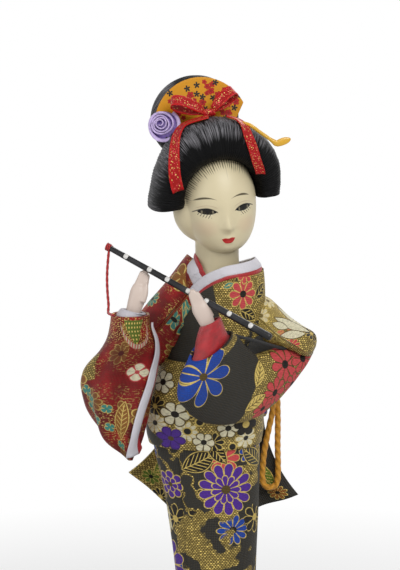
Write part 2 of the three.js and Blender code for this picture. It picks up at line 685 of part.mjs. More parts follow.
// A point of the roll: an angle from the crown to either side, and an angle round its section, in degrees.
// Round the section 0 is outermost and 90 is the front.
function hairSurface(crown, turn, lift) {
  const [inner, outer, front, back] = hairRing(Math.abs(crown));
  const [c, s] = [Math.cos(turn * DEG), Math.sin(turn * DEG)];
  const fullness = Math.pow(Math.abs(c) ** 2.6 + Math.abs(s) ** 2.6, -1 / 2.6);
  const out = (inner + outer) / 2 + c * fullness * ((outer - inner) / 2 + lift);
  const y = (front + back) / 2 - s * fullness * ((back - front) / 2 + lift);
  return vec(out * Math.sin(crown * DEG), y, out * Math.cos(crown * DEG));
}

function hairRoll(grow, rings = 18, sides = 12) {
  const turns = steps(0, 360, sides).slice(0, -1);
  const crowns = steps(-HAIR_WING_ANGLE, HAIR_WING_ANGLE, rings);
  return loft(crowns.map((crown) => turns.map((turn) => hairSurface(crown, turn, grow))));
}

const box = (x, y, z, place) => new THREE.BoxGeometry(x, y, z).translate(place.x, place.y, place.z);
const WIDE = 200;
const belowWings = (grow) => box(WIDE, WIDE, WIDE, vec(0, 0, -HAIR_WING_DROP - WIDE / 2 - grow));

// The comb's plane leans back behind the roll; what is behind it starts at its back face.
const combFoot = vec(-3, HAIR_FRONT_DEPTH - 16.5 + FIT_GAP, HAIR_TOP_RISE - 8);
const combFrame = new THREE.Matrix4().makeRotationX(-COMB_LEAN * DEG).setPosition(combFoot);
const combBehind = COMB_THICKNESS + FIT_GAP;

// All that is in front of the comb's back face, or all that is behind it.
function combSide(side) {
  const slab = box(WIDE, WIDE, WIDE, vec(0, combBehind + side * (WIDE / 2 - (side > 0 ? FIT_GAP : 0)), 0));
  return slab.applyMatrix4(combFrame);
}

// The hairpin lies on a straight line across the crown, from the doll's left
const pinMouth = vec(12, -8, 31.5);
const pinDirection = vec(0.81, -0.415, -0.415).normalize();
const pinSunk = 0.45 * HAIRPIN_LENGTH;
const pinAt = (reach) => pinMouth.clone().addScaledVector(pinDirection, reach);

function pinSolid(grow) {
  const shaft = [pinAt(-pinSunk - grow), pinAt(0), pinAt(HAIRPIN_LENGTH - pinSunk)];
  const radius = HAIRPIN_DIAMETER / 2 + grow;
  return taperedTube(shaft, shaft.map(() => [radius, radius]), 10);
}

const backHair = (grow) => {
  const bun = new THREE.SphereGeometry(1, 20, 11).rotateX(90 * DEG);
  bun.scale(HAIR_SIDE_REACH - 4 + grow, HEAD_HALF_DEPTH + 3 + grow, HEAD_HALF_HEIGHT + 6 + grow);
  return bun.translate(0, 11, 4);
};

const topKnot = () => {
  const bun = new THREE.SphereGeometry(1, 20, 10).rotateX(90 * DEG);
  bun.scale(KNOT_HALF_WIDTH, KNOT_DEPTH / 2, KNOT_HALF_HEIGHT);
  return bun.translate(-4.5, combFoot.y + combBehind + 0.42 * KNOT_DEPTH, HAIR_TOP_RISE - 2);
};

function makeHair() {
  const head = headSolid(FIT_GAP);
  const pin = pinSolid(FIT_GAP);
  const roll = hairRoll(FIT_GAP);
  const nape = box(WIDE, WIDE, WIDE, vec(0, 0, -NAPE_DROP - WIDE / 2));
  add("hair_front", "hair", inHeadFrame(cut(hairRoll(0), head, belowWings(0), pin)));
  const back = cut(backHair(0), head, roll, nape, combSolid(FIT_GAP), pin);
  add("hair_back", "hair", inHeadFrame(back));
  const knot = cut(topKnot(), roll, backHair(FIT_GAP), combSide(-1), pin);
  add("topknot", "hair", inHeadFrame(knot));
}

// Comb: a fan-shaped plate that stands in the hair between the roll and the topknot
function combSolid(grow) {
  const half = COMB_HALF_ANGLE * DEG;
  const foot = 6;
  const fan = new THREE.Shape();
  const rim = half + grow / COMB_RADIUS;
  const base = half + grow / foot;
  fan.absarc(0, 0, COMB_RADIUS + grow, 90 * DEG - rim, 90 * DEG + rim);
  fan.absarc(0, 0, foot - grow, 90 * DEG + base, 90 * DEG - base, true);
  const plate = new THREE.ExtrudeGeometry(fan, {
    depth: COMB_THICKNESS + 2 * grow,
    bevelEnabled: false,
    curveSegments: 12,
  });
  return plate.rotateX(90 * DEG).translate(0, COMB_THICKNESS + grow, 0).applyMatrix4(combFrame);
}

// Bow: two loops and a knot of ribbon, standing on the roll in front of the comb
const halfRibbon = [RIBBON_WIDTH / 2, RIBBON_WIDTH / 2];
const bowKnot = vec(-3.4, -1.6, HAIR_TOP_RISE + 2.6);
const RIGHT_TAIL = [[-9, 8], [-18, 18], [-28, 34], [-38, 52], [-48, 70], [-58, 86], [-68, 99], [-78, 109]];
const LEFT_TAIL = [[5, 8], [11, 22], [18, 40], [26, 58], [35, 76], [45, 92], [56, 106], [67, 116]];

// The knot is taller than it is wide, so it sits down on the roll.
function knotSolid(grow) {
  const knot = new THREE.SphereGeometry(BOW_KNOT_RADIUS + grow, 14, 10).scale(1, 1.25, 1.75);
  return knot.translate(bowKnot.x, bowKnot.y, bowKnot.z);
}

function bowLoop(side, rise, roll, long) {
  const outline = (start, length, half) =>
    steps(0, 1, 20).slice(0, -1).map((t) => {
      const bulge = (1 - Math.cos(2 * Math.PI * t)) / 2;
      const rise = half * Math.sin(2 * Math.PI * t) * (0.35 + 0.65 * bulge);
      return new THREE.Vector2(start + length * bulge, rise);
    });
  const ribbon = new THREE.Shape(outline(0, long, BOW_LOOP_HALF).toReversed());
  const opening = outline(4, long - 4 - RIBBON_THICKNESS, BOW_LOOP_HALF - 1.3 * RIBBON_THICKNESS);
  ribbon.holes.push(new THREE.Path(opening));
  const loop = new THREE.ExtrudeGeometry(ribbon, { depth: RIBBON_WIDTH, bevelEnabled: false });
  loop.translate(BOW_KNOT_RADIUS + FIT_GAP, 0, -RIBBON_WIDTH / 2);
  loop.rotateX((90 + roll) * DEG).rotateY(-rise * DEG);
  if (side < 0) loop.rotateZ(180 * DEG);
  return loop.translate(bowKnot.x, bowKnot.y, bowKnot.z);
}

function makeOrnaments() {
  add("comb", "comb", inHeadFrame(combSolid(0)));
  const roll = hairRoll(FIT_GAP);
  const comb = combSolid(FIT_GAP);
  add("bow_loop_right", "ribbon", inHeadFrame(cut(bowLoop(-1, 31, 18, BOW_LOOP_LENGTH), comb, roll)));
  add("bow_loop_left", "ribbon", inHeadFrame(cut(bowLoop(1, 32, 40, 0.8 * BOW_LOOP_LENGTH), comb, roll)));
  add("bow_knot", "ribbon", inHeadFrame(cut(knotSolid(0), roll)));
  const tailGeometry = (path) => strip(hairSurface, path, halfRibbon, 2 * FIT_GAP, RIBBON_THICKNESS, 2);
  const knot = knotSolid(FIT_GAP);
  const pin = pinSolid(FIT_GAP);
  add("ribbon_tail_right", "ribbon", inHeadFrame(cut(tailGeometry(RIGHT_TAIL), knot, comb)));
  add("ribbon_tail_left", "ribbon", inHeadFrame(cut(tailGeometry(LEFT_TAIL), knot, comb, pin)));
  makeRose();
  makeHairpin();
}

// Rose: one ribbon rolled up edge-on over a base disc, with a wire stem down to the hair
function makeRose() {
  const thickness = 0.9;
  const innerRadius = 0.9;
  const outerRadius = ROSE_RADIUS - thickness;
  const turnSteps = 12;
  const along = steps(0, 1, turnSteps * ROSE_TURNS);
  const edge = (grow) =>
    along.map((t) => {
      const angle = 2 * Math.PI * ROSE_TURNS * t;
      const radius = lerp(innerRadius, outerRadius, t) + grow;
      return new THREE.Vector2(Math.cos(angle), Math.sin(angle)).multiplyScalar(radius);
    });
  const band = new THREE.Shape([...edge(0), ...edge(thickness).toReversed()]);
  const gaps = edge(0).slice(turnSteps).map((p, i) => p.distanceTo(edge(thickness)[i]));
  console.log(`least gap between the rose's turns: ${Math.min(...gaps).toFixed(2)} mm`);
  const roll = new THREE.ExtrudeGeometry(band, { depth: ROSE_HEIGHT - 1, bevelEnabled: false });
  const disc = turned([[0, 0], [outerRadius - 1, 0], [outerRadius + 0.5, 1], [0, 1]], 20);
  const facing = vec(-0.25, -0.95, 0.15).normalize();
  const turn = new THREE.Quaternion().setFromUnitVectors(vec(0, 0, 1), facing);
  const seat = hairSurface(-38, 0, 0.78 * ROSE_RADIUS).add(vec(1.5, 8, 5));
  const rose = join(roll.translate(0, 0, 0.8), disc).applyQuaternion(turn).translate(...seat);
  const stemSize = [ROSE_STEM_DIAMETER / 2, ROSE_STEM_DIAMETER / 2];
  const stemEnds = [seat.clone().addScaledVector(facing, 0.5), hairSurface(-38, 0, -2)];
  const stem = taperedTube(stemEnds, [stemSize, stemSize], 8);
  const wide = halfRibbon.map((half) => half + FIT_GAP);
  const tail = strip(hairSurface, RIGHT_TAIL, wide, 0, RIBBON_THICKNESS + 3 * FIT_GAP);
  const flower = cut(join(rose, stem), hairRoll(FIT_GAP), tail, combSide(1));
  add("ribbon_rose", "rose", inHeadFrame(flower));
}

// Hairpin: a straight shaft with a bent, flattened spoon at its free end
function makeHairpin() {
  const radius = HAIRPIN_DIAMETER / 2;
  const bend = pinAt(HAIRPIN_LENGTH - pinSunk);
  const spoon = vec(0.97, -0.1, 0.22);
  const reaches = [-0.15, 0, 0.25, 0.55, 0.85, 1].map((share) => share * HAIRPIN_SPOON);
  const points = reaches.map((reach) => bend.clone().addScaledVector(spoon, reach));
  const shares = [1, 1, 1.3, 1.75, 1.4, 0.5];
  const sizes = shares.map((share, i) => [radius * (i < 2 ? share : 0.55), radius * share]);
  const shaft = pinSolid(0);
  add("hairpin", "pin", inHeadFrame(join(shaft, taperedTube(points, sizes, 10))));
}

// Collars and bodice: the left side laps over the right.
// A neckline is a bodice panel's edge at each height.
const bodiceLow = obiHigh - 9;
const crossing = SHOULDER_HEIGHT - 12;
const bodiceHigh = COLLAR_HEIGHT - 9;
const neckHeights = steps(crossing, bodiceHigh, 8);
const rightNeckline = track([
  [bodiceLow, 288],
  [CHEST_HEIGHT, 282],
  [SHOULDER_HEIGHT - 8, 262],
  [SHOULDER_HEIGHT - 2, 244],
  [SHOULDER_HEIGHT + 4.5, 216],
  [bodiceHigh, 186],
]);
const leftNeckline = track([
  [bodiceLow, -172],
  [CHEST_HEIGHT, -157],
  [SHOULDER_HEIGHT - 13.5, -135],
  [SHOULDER_HEIGHT - 2.5, -110],
  [SHOULDER_HEIGHT + 2, -76],
  [SHOULDER_HEIGHT + 5, -30],
  [bodiceHigh, -6],
]);

function makeClothes() {
  const neck = turned(neckProfile(FIT_GAP));
  const heights = [bodiceLow, lerp(bodiceLow, crossing, 0.5), ...neckHeights];
  const seam = 1;
  const panel = (name, look, from, to, columns, lift, ...cutters) => {
    const rows = heights.map((z) => steps(from(z), to(z), columns).map((a) => [a, z]));
    add(name, look, cut(patch(bodySurface, rows, lift, CLOTH), neck, ...cutters));
  };
  const armholes = [rightArm, leftArm].map((path) => wireTube(path, FIT_GAP));
  panel("bodice_back", "redBrocade", () => seam, () => 180 - seam, 8, rightBodiceLift);
  const [rightEdge, leftEdge] = [rightNeckline, leftNeckline].map((line) => (z) => line(z)[0]);
  panel("bodice_right", "redBrocade", () => 180 + seam, rightEdge, 7, rightBodiceLift, ...armholes);
  panel("bodice_left", "darkBrocade", leftEdge, () => 12 * seam, 9, leftBodiceLift, ...armholes);
  // Each collar band runs up beside its neckline, tucked under the bodice, and round to the nape
  const up = (neckline) => neckHeights.map((z) => [neckline(z)[0], z]);
  const nape = (from, to) => steps(from, to, 4).slice(1).map((a) => [a, bodiceHigh + 0.4]);
  const rightPath = [...up(rightNeckline), ...nape(186, 91)];
  const leftPath = [...up(leftNeckline), ...nape(-6, 89)];
  const collar = (name, look, path, edges, lift) =>
    add(name, look, cut(strip(bodySurface, path, edges, lift, COLLAR_CLOTH, 2), neck));
  collar("collar_white_right", "whiteCloth", rightPath, [COLLAR_SHOW, 2], rightCollarLift);
  const pipingStart = COLLAR_SHOW + FIT_GAP;
  const piping = [pipingStart + PIPING_SHOW, -pipingStart];
  collar("collar_piping_right", "redCloth", rightPath, piping, rightCollarLift);
  const besideRed = [-PIPING_SHOW - FIT_GAP, COLLAR_SHOW];
  collar("collar_white_left", "whiteCloth", leftPath, besideRed, leftCollarLift);
  collar("collar_red_left", "redCloth", leftPath, [0.4, PIPING_SHOW], leftCollarLift - 0.1);
}

// Skirt: a gathered tube that flares to the hem, with the left panel lapped over it
function skirtSurface(angle, height, lift) {
  const open = 1 - smooth(height, 0, FOLD_TOP_HEIGHT);
  const train = Math.max(0, Math.sin(angle * DEG));
  const fold = 0.5 + 0.5 * Math.cos(FOLD_COUNT * angle * DEG + 0.02 * height);
  const flare = open * (HEM_FLARE + TRAIN_FLARE * train) * open + open * FOLD_DEPTH * fold;
  return bodySurface(angle, height, lift + flare);
}

function makeSkirt() {
  const top = obiLow + 9;
  const heights = steps(0, 1, 7).map((t) => lerp(FIT_GAP, top, Math.pow(t, 1.25)));
  const column = 360 / (4 * FOLD_COUNT);
  const rows = heights.map((z) => steps(0, 360 - column, 4 * FOLD_COUNT - 1).map((a) => [a, z]));
  add("skirt", "darkBrocade", patch(skirtSurface, rows, skirtLift, CLOTH, true));
  const lapRows = heights.map((z) => steps(-16 * column, 2 * column, 18).map((a) => [a, z]));
  add("skirt_overlap", "darkBrocade", patch(skirtSurface, lapRows, overlapLift, CLOTH));
}

// Obi with its bow and two tails at the back
const bowMiddle = vec(0, 0, WAIST_HEIGHT + 4);

function makeObi() {
  const angles = steps(0, 360, OBI_COLUMNS).slice(0, -1);
  const rows = steps(obiLow, obiHigh, 3).map((z) => angles.map((a) => [a, z]));
  add("obi", "goldBrocade", patch(bodySurface, rows, obiLift, OBI_CLOTH, true));
  const outside = obiLift + OBI_CLOTH + FIT_GAP;
  const backFace = bodySurface(90, WAIST_HEIGHT, outside).y;
  const waist = 0.8;
  bowMiddle.y = backFace + (waist * BOW_DEPTH) / 2 - 2 * FIT_GAP;
  const rings = steps(-1, 1, 8).map((w) => {
    const squeeze = lerp(waist, 1, Math.abs(w));
    return ringAngles(20).map((angle) => {
      const [c, s] = [Math.cos(angle), Math.sin(angle)];
      const full = Math.pow(Math.abs(c) ** 4 + Math.abs(s) ** 4, -0.25);
      const y = bowMiddle.y + (BOW_DEPTH / 2) * full * c * squeeze;
      return vec(bowMiddle.x + (w * BOW_WIDTH) / 2, y, bowMiddle.z + (BOW_HEIGHT / 2) * full * s * squeeze);
    });
  });
  const body = join(
    bodySolid(obiLow - 1, obiHigh + 1, 6, outside),
    bodySolid(obiHigh - 2, COLLAR_HEIGHT, 8, leftBodiceLift + CLOTH + FIT_GAP),
  );
  add("obi_bow", "goldBrocade", cut(loft(rings), body));
  addObiTail("obi_tail_right", -1, TAIL_SPLAY, TAIL_LENGTH, body);
  addObiTail("obi_tail_left", 1, 1.1 * TAIL_SPLAY, 1.25 * TAIL_LENGTH, body);
}

// A tail hangs from under the bow, swings out to its side and ends in a slanting hem.
function addObiTail(name, side, splay, long, body) {
  const top = bowMiddle.z - BOW_HEIGHT / 2 - FIT_GAP;
  const rows = (through) =>
    steps(0, 1, 6).map((t) =>
      steps(-0.5, 0.5, 4).map((w) => {
        const x = bowMiddle.x + side * (0.27 * BOW_WIDTH + splay * t * t + w * TAIL_WIDTH * (1 + 0.2 * t));
        const wave = 1.2 * Math.cos(2 * Math.PI * w + side) * t;
        const y = bowMiddle.y + through + wave - 4 * t;
        return vec(x, y, top - t * (long - 11 * (w + 0.5)));
      }),
    );
  add(name, "goldBrocade", cut(sheet(rows(0), rows(SLEEVE_CLOTH)), body));
}

// The gold cord leaves the bow at the doll's left, hangs in a loop and returns to the bow.
function makeObiCord() {
  const side = bowMiddle.x + BOW_WIDTH / 2;
  const high = bowMiddle.z - 6;
  const loop = 3.5;
  const low = high - OBI_CORD_DROP;
  const points = [
    vec(side + FIT_GAP, bowMiddle.y + 1, high),
    vec(side + 2.2, bowMiddle.y + 1, high),
    vec(side + 4.4, bowMiddle.y - 1, high - 4),
    vec(side + 4.9, bowMiddle.y - 3.4, high - 12),
    vec(side + 4.9, bowMiddle.y - 5, high - 26),
    vec(side + 4.9, bowMiddle.y - 6, low + loop),
    vec(side + 3.9, bowMiddle.y - 6.3, low + 1),
    vec(side + 1.4, bowMiddle.y - 6.6, low),
    vec(side - 1.1, bowMiddle.y - 6.9, low + 1),
    vec(side - 2.1, bowMiddle.y - 7, low + loop),
    vec(side - 1.6, bowMiddle.y - 6.4, high - 31),
    vec(side + 0.6, bowMiddle.y - 5.4, high - 19),
    vec(side + 2.4, bowMiddle.y - 4.4, high - 10),
    vec(side + 2.2, bowMiddle.y - 4, high - 3.6),
    vec(side + FIT_GAP, bowMiddle.y - 4, high - 3.6),
  ];
  add("obi_cord", "goldCord", roundTube(points, OBI_CORD_DIAMETER, 26));
}

// Sleeves: an upper tube over each arm, and a hanging bag with the cuff at its mouth
function upperSleeve(shoulder, elbow, grow) {
  const along = [0, 0.5, 1];
  const points = along.map((t) => shoulder.clone().lerp(elbow, t));
  const sizes = along.map((t) => {
    const radius = UPPER_SLEEVE_RADIUS * lerp(0.95, 1.04, t) + grow;
    return [radius, radius];
  });
  return taperedTube(points, sizes, 14, vec(0, 1, 0));
}

function makeUpperSleeve(side, look, shoulder, elbow, others) {
  const start = shoulder.clone().lerp(elbow, 0.1);
  const tube = upperSleeve(start, elbow, 0);
  const down = elbow.clone().sub(shoulder).normalize();
  const opening = start.clone().addScaledVector(down, -9);
  const floor = elbow.clone().addScaledVector(down, -SLEEVE_CLOTH);
  const inside = upperSleeve(opening, floor, -SLEEVE_CLOTH);
  add(`sleeve_${side}_upper`, look, cut(tube, inside, clothedBody(FIT_GAP), ...others));
}

// The right bag, at a share of its drop and an angle round it: a pouch below the raised cuff.
// Rows: share, shifts sideways and back as shares of the half sizes, share of the cuff's radius,
// shares of the half sizes.
const rightBagShape = track([
  [0, -0.065, 0.04, 1, 0, 0],
  [0.07, -0.085, 0.13, 1, 0.02, 0.02],
  [0.17, -0.065, 0.52, 0.7, 0.32, 0.38],
  [0.26, -0.16, 0.87, 0.4, 0.62, 0.68],
  [0.37, -0.36, 1.22, 0.1, 0.92, 0.95],
  [0.49, -0.455, 1.39, 0, 1, 0.96],
  [0.65, -0.475, 1.39, 0, 0.86, 0.82],
  [0.84, -0.365, 1.39, 0, 0.55, 0.55],
  [0.96, -0.195, 1.39, 0, 0.2, 0.22],
  [1, -0.13, 1.39, 0, 0.1, 0.12],
]);

function rightBagSurface(angle, share, lift) {
  const [sideways, back, mouth, wideShare, deepShare] = rightBagShape(share);
  const wide = mouth * RIGHT_CUFF_RADIUS + wideShare * RIGHT_BAG_HALF_WIDTH;
  const deep = mouth * RIGHT_CUFF_RADIUS + deepShare * RIGHT_BAG_HALF_DEPTH;
  const hanging = smooth(share, 0.15, 0.5) * (1 - smooth(share, 0.8, 1));
  const fold = 0.9 * hanging * Math.cos(5 * angle * DEG + 7 * share);
  const [c, s] = [Math.cos(angle * DEG), Math.sin(angle * DEG)];
  const cuffTop = rightWrist.z - 0.5;
  return vec(
    rightWrist.x + sideways * RIGHT_BAG_HALF_WIDTH + (wide + fold + lift) * c,
    rightWrist.y + back * RIGHT_BAG_HALF_DEPTH + (deep + fold + lift) * s,
    cuffTop - share * RIGHT_BAG_DROP,
  );
}

function rightBag(lift, from, to) {
  const angles = steps(0, 360, 16).slice(0, -1);
  return loft(steps(from, to, 10).map((share) => angles.map((a) => rightBagSurface(a, share, lift))));
}

// The left bag hangs from the forearm: a share from the elbow to the mouth, and an angle round the section.
// Rows: share, top edge and bottom edge as distances along and above the wrist, share of the half depth.
const leftBagEdges = track([
  [0, -54, -13, -58, -20, 0.8],
  [0.15, -48, -11, -49, -29, 1.05],
  [0.3, -39, -9.5, -37, -40, 1.1],
  [0.45, -31, -7.5, -25, -46, 1.1],
  [0.6, -23, -5.5, -10, -47, 1.05],
  [0.75, -16, -3.5, 6, -44, 1],
  [0.85, -12.5, -2.5, 17, -36, 1],
  [0.93, -10, -1.8, 22, -27, 1],
  [1, -8, -1, 14, -12, 1],
]);
const leftForearm = leftWrist.clone().sub(leftElbow).setZ(0);
const leftAlong = leftForearm.clone().normalize();
const leftOut = vec(-leftAlong.y, leftAlong.x, 0);
const alongScale = leftForearm.length() / 52;
const dropScale = LEFT_BAG_DROP / 48;

function leftBagSurface(angle, share, lift) {
  const [topAlong, topUp, lowAlong, lowUp, deep] = leftBagEdges(share);
  const [c, s] = [Math.cos(angle * DEG), Math.sin(angle * DEG)];
  const half = vec((topAlong - lowAlong) * alongScale, 0, (topUp - lowUp) * dropScale).divideScalar(2);
  const reach = s * (1 + lift / half.length());
  const past = 50 * Math.max(0, share - 1);
  const along = ((topAlong + lowAlong) * alongScale) / 2 + half.x * reach + 0.4 * past;
  const up = ((topUp + lowUp) * dropScale) / 2 + half.z * reach + 0.9 * past;
  const fold = 0.6 * Math.max(0, -s) * Math.cos(12 * share);
  const out = (LEFT_BAG_HALF_DEPTH * deep + fold + lift) * c;
  return leftWrist
    .clone()
    .addScaledVector(leftAlong, along)
    .addScaledVector(leftOut, out)
    .add(vec(0, LEFT_BAG_TILT * Math.max(0, -up), up));
}

function leftBag(lift, shares) {
  const angles = steps(0, 360, 16).slice(0, -1);
  return loft(shares.map((share) => angles.map((a) => leftBagSurface(a, share, lift))));
}

function makeSleeves() {
  const body = clothedBody(FIT_GAP);
  const arms = { right: armCutter(rightArm), left: armCutter(leftArm) };
  makeUpperSleeve("right", "redBrocade", rightShoulder, rightElbow, [arms.right]);
  makeUpperSleeve("left", "goldBrocade", leftShoulder, leftElbow, [arms.left]);
  const rightUpper = upperSleeve(rightShoulder, rightElbow, FIT_GAP);
  const rightInside = rightBag(-SLEEVE_CLOTH, -0.04, 0.975);
  add("sleeve_right_bag", "redBrocade", cut(rightBag(0, 0, 1), rightInside, rightUpper, arms.right, body));
  const leftUpper = upperSleeve(leftShoulder, leftElbow, FIT_GAP);
  const shares = [0.15, 0.3, 0.45, 0.6, 0.75, 0.85, 0.93, 1];
  const leftInside = leftBag(-SLEEVE_CLOTH, [0.05, ...shares, 1.06]);
  const leftCutters = [leftInside, leftUpper, arms.left, body, palmSolid(LEFT_HAND, FIT_GAP)];
  add("sleeve_left_bag", "darkBrocade", cut(leftBag(0, [0, ...shares]), ...leftCutters));
  const liningPath = steps(0.14, 0.96, 8).map((share) => [lerp(-20, -38, share), share]);
  const liningEdges = (t) => [0.5, 0.5].map((half) => half * lerp(0.45, 1, t) * LINING_WIDTH);
  const lining = strip(rightBagSurface, liningPath, liningEdges, LAYER_GAP, COLLAR_CLOTH, 2);
  add("sleeve_lining_right", "whiteCloth", cut(lining, rightUpper, rightBag(FIT_GAP, 0, 1), body));
  makeCuff("cuff_right", "whiteCloth", rightBagSurface, [0.1, 0], RIGHT_HAND, rightArm);
  makeCuff("cuff_left", "redCloth", leftBagSurface, [0.93, 1], LEFT_HAND, leftArm);
}

// A cuff of the under-robe lines the mouth of its sleeve and closes in round the wrist.
function makeCuff(name, look, surface, shares, hand, arm) {
  const { wrist, direction } = hand;
  const angles = steps(0, 360, 16).slice(0, -1);
  const inset = -SLEEVE_CLOTH - 4 * FIT_GAP;
  const through = vec(0, 1, 0).cross(direction).normalize();
  const across = direction.clone().cross(through);
  const wristRadius = HAND_HALF_WIDTH + 0.5;
  const rows = (lift) => {
    const lined = shares.map((share) => angles.map((a) => surface(a, share, inset + lift)));
    const end = wrist.clone().addScaledVector(direction, 3.5);
    const start = surface(0, shares[1], inset).sub(centreOf(lined[1]));
    const turn = Math.atan2(start.dot(across), start.dot(through));
    const spin = Math.sign(lined[1][1].clone().sub(lined[1][0]).cross(start).dot(direction)) * -1;
    const close = angles.map((a) => {
      const angle = turn + spin * a * DEG;
      const radius = wristRadius + COLLAR_CLOTH + lift;
      return end
        .clone()
        .addScaledVector(through, radius * Math.cos(angle))
        .addScaledVector(across, radius * Math.sin(angle));
    });
    return [...lined, close];
  };
  const cuff = sheet(rows(-COLLAR_CLOTH), rows(0), true);
  add(name, look, cut(cuff, armCutter(arm), palmSolid(hand, FIT_GAP), fluteSolid(FIT_GAP)));
}

makeStand();
makeFormers();
makeHead();
makeHair();
makeOrnaments();
makeClothes();
makeSkirt();
makeObi();
makeObiCord();
makeSleeves();
makeArm("right", rightArm);
makeArm("left", leftArm);
makeHand("hand_right", RIGHT_HAND, rightArm);
makeHand("hand_left", LEFT_HAND, leftArm);
makeFlute();

export default part;
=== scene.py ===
"""The looks of a dressed doll that holds a flute, built round the doll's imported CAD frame.

Shape functions work in millimetres in the doll's own frame, which stands on the board: +Z is up, the doll
faces -Y and its right hand is on -X. place() turns such a point into metres in the frame of the whole object.
"""

import json
from math import asin, atan2, cos, degrees, exp, hypot, pi, radians, sin, sqrt

import bmesh
import bpy
from bpy.props import FloatProperty, FloatVectorProperty, IntProperty, PointerProperty
from mathutils import Matrix, Vector, noise

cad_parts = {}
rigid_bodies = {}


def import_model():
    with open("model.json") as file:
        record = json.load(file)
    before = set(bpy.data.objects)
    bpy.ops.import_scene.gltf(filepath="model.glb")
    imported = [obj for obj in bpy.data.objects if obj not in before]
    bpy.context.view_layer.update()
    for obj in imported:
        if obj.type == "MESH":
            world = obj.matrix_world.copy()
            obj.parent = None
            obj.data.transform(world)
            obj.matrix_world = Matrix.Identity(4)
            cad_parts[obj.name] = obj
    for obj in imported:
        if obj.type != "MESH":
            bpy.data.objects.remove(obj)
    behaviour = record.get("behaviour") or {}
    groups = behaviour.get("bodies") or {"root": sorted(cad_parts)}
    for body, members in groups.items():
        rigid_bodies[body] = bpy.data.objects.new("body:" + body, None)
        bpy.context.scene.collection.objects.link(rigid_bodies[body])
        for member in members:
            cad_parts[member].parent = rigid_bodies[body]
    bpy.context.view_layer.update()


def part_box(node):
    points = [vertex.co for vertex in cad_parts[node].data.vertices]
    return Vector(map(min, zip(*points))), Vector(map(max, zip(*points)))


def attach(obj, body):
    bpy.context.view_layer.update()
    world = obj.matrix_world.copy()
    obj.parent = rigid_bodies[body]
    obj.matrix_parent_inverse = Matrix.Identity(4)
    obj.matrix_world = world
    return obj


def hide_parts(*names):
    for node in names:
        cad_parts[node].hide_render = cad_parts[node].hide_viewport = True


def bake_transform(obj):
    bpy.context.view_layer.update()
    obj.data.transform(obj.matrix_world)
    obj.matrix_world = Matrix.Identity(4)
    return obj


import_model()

bl_info = {
    "name": "Flute Doll",
    "version": (1, 0, 0),
    "blender": (4, 5, 0),
    "location": "View3D > Sidebar > Doll",
    "description": "Dresses the frame of a doll in brocade, hair, ribbons and painted finishes",
    "category": "Object",
}

MM = 0.001
TURN = 2 * pi
UP, BACKWARDS = Vector((0, 0, 1)), Vector((0, 1, 0))
STAND_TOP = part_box("stand_base")[1][2] / MM

# The rounded corners of the board and the least flat width of a sheet, in metres
BOARD_CORNER = 0.016
NARROWEST = 0.01

# What the picture shows, in metres, and how far the camera looks down
PICTURE_HEIGHT = 0.2565
PICTURE_MIDDLE = Vector((-0.00765, 0, 0.2668))
CAMERA_TILT = radians(10)

# Heights of the body, and the lifts of the clothes off the body former
KNEE, HIP, WAIST, CHEST, SHOULDER, COLLAR = 90, 170, 200, 230, 253, 268
OBI_LOW, OBI_HIGH = 180, 220
BODICE_LOW, CROSSING, BODICE_HIGH = 211, 241, 259
RIGHT_COLLAR_LIFT, RIGHT_BODICE_LIFT = 0.3, 1.45
LEFT_COLLAR_LIFT, LEFT_BODICE_LIFT = 2.8, 3.95
OBI_LIFT, SLEEVE_LIFT = 5.3, LEFT_BODICE_LIFT + 1.2
SKIRT_LIFT, OVERLAP_LIFT = 0.3, 1.5
CLOTH_RADIUS = 19
FOLD_COUNT = 11
HIP_SWELL = 4.5

# Head, in its own turned frame
HEAD_HALF = Vector((16.6, 18.4, 22.6))
CHIN_FORWARD, JAW = 7, 0.12
FACE_MIDDLE = -1.0
EYE_OFFSET, EYE_HEIGHT = 8.0, -1.45
HAIR_TOP = 38
WING_ANGLE = 128
WING_DROP = 0.5
NAPE_DROP = 7
COMB_FOOT = Vector((-3, 3.8, 28.5))
COMB_RADIUS, COMB_MIDDLE, COMB_HALF_ANGLE, COMB_FOOT_HALF = 21.45, 4.55, 69, 14
BOW_KNOT = Vector((-1.2, -1.6, 39.4))
BUN_MIDDLE, BUN_HALF = Vector((0, 11, 4)), Vector((25, 21.4, 28.6))
TOPKNOT_MIDDLE, TOPKNOT_HALF = Vector((-3.9, 15.48, 34.5)), Vector((20.1, 12, 19.2))
NECK_LOW, NECK_HIGH = 253.3, 277.4

# Hands and flute
RIGHT_GRIP = Vector((-30.8, -28, 264))
FLUTE_DIRECTION = Vector((0.855, -0.288, -0.431)).normalized()
FLUTE_TIP, FLUTE_BUTT, GRIP_SPACING = -20.6, 62.5, 27.9
FLUTE_TIP_RADIUS, FLUTE_BUTT_RADIUS = 1.2, 1.65
KNOT_REACH = FLUTE_TIP + 1.2
FLUTE_SPOTS = (-10.5, 1.6, 10.6, 21.2, 30.3, 41.8, 52.4)
RIGHT_HAND_DIRECTION = Vector((0.3, 0.14, 0.95)).normalized()
LEFT_HAND_DIRECTION = Vector((-0.42, 0.02, 0.9)).normalized()
PALM_REACH = 14.76
RIGHT_WRIST = RIGHT_GRIP - RIGHT_HAND_DIRECTION * (PALM_REACH + 6) + Vector((0, 2.4, 0))
LEFT_GRIP = RIGHT_GRIP + FLUTE_DIRECTION * GRIP_SPACING
LEFT_WRIST = LEFT_GRIP - LEFT_HAND_DIRECTION * PALM_REACH - Vector((0, 2.6, 0))
LEFT_PALM = LEFT_WRIST - FLUTE_DIRECTION * 3.4
RIGHT_SHOULDER, RIGHT_ELBOW = Vector((-10.94, 0, 253)), Vector((-35, -3.5, 225))
LEFT_SHOULDER, LEFT_ELBOW = Vector((13.68, 0, 242)), Vector((36.5, -3.5, 222))
ARM_RADIUS, CUFF_RADIUS, CUFF_OPENING = 8.8, 8.4, 4.9
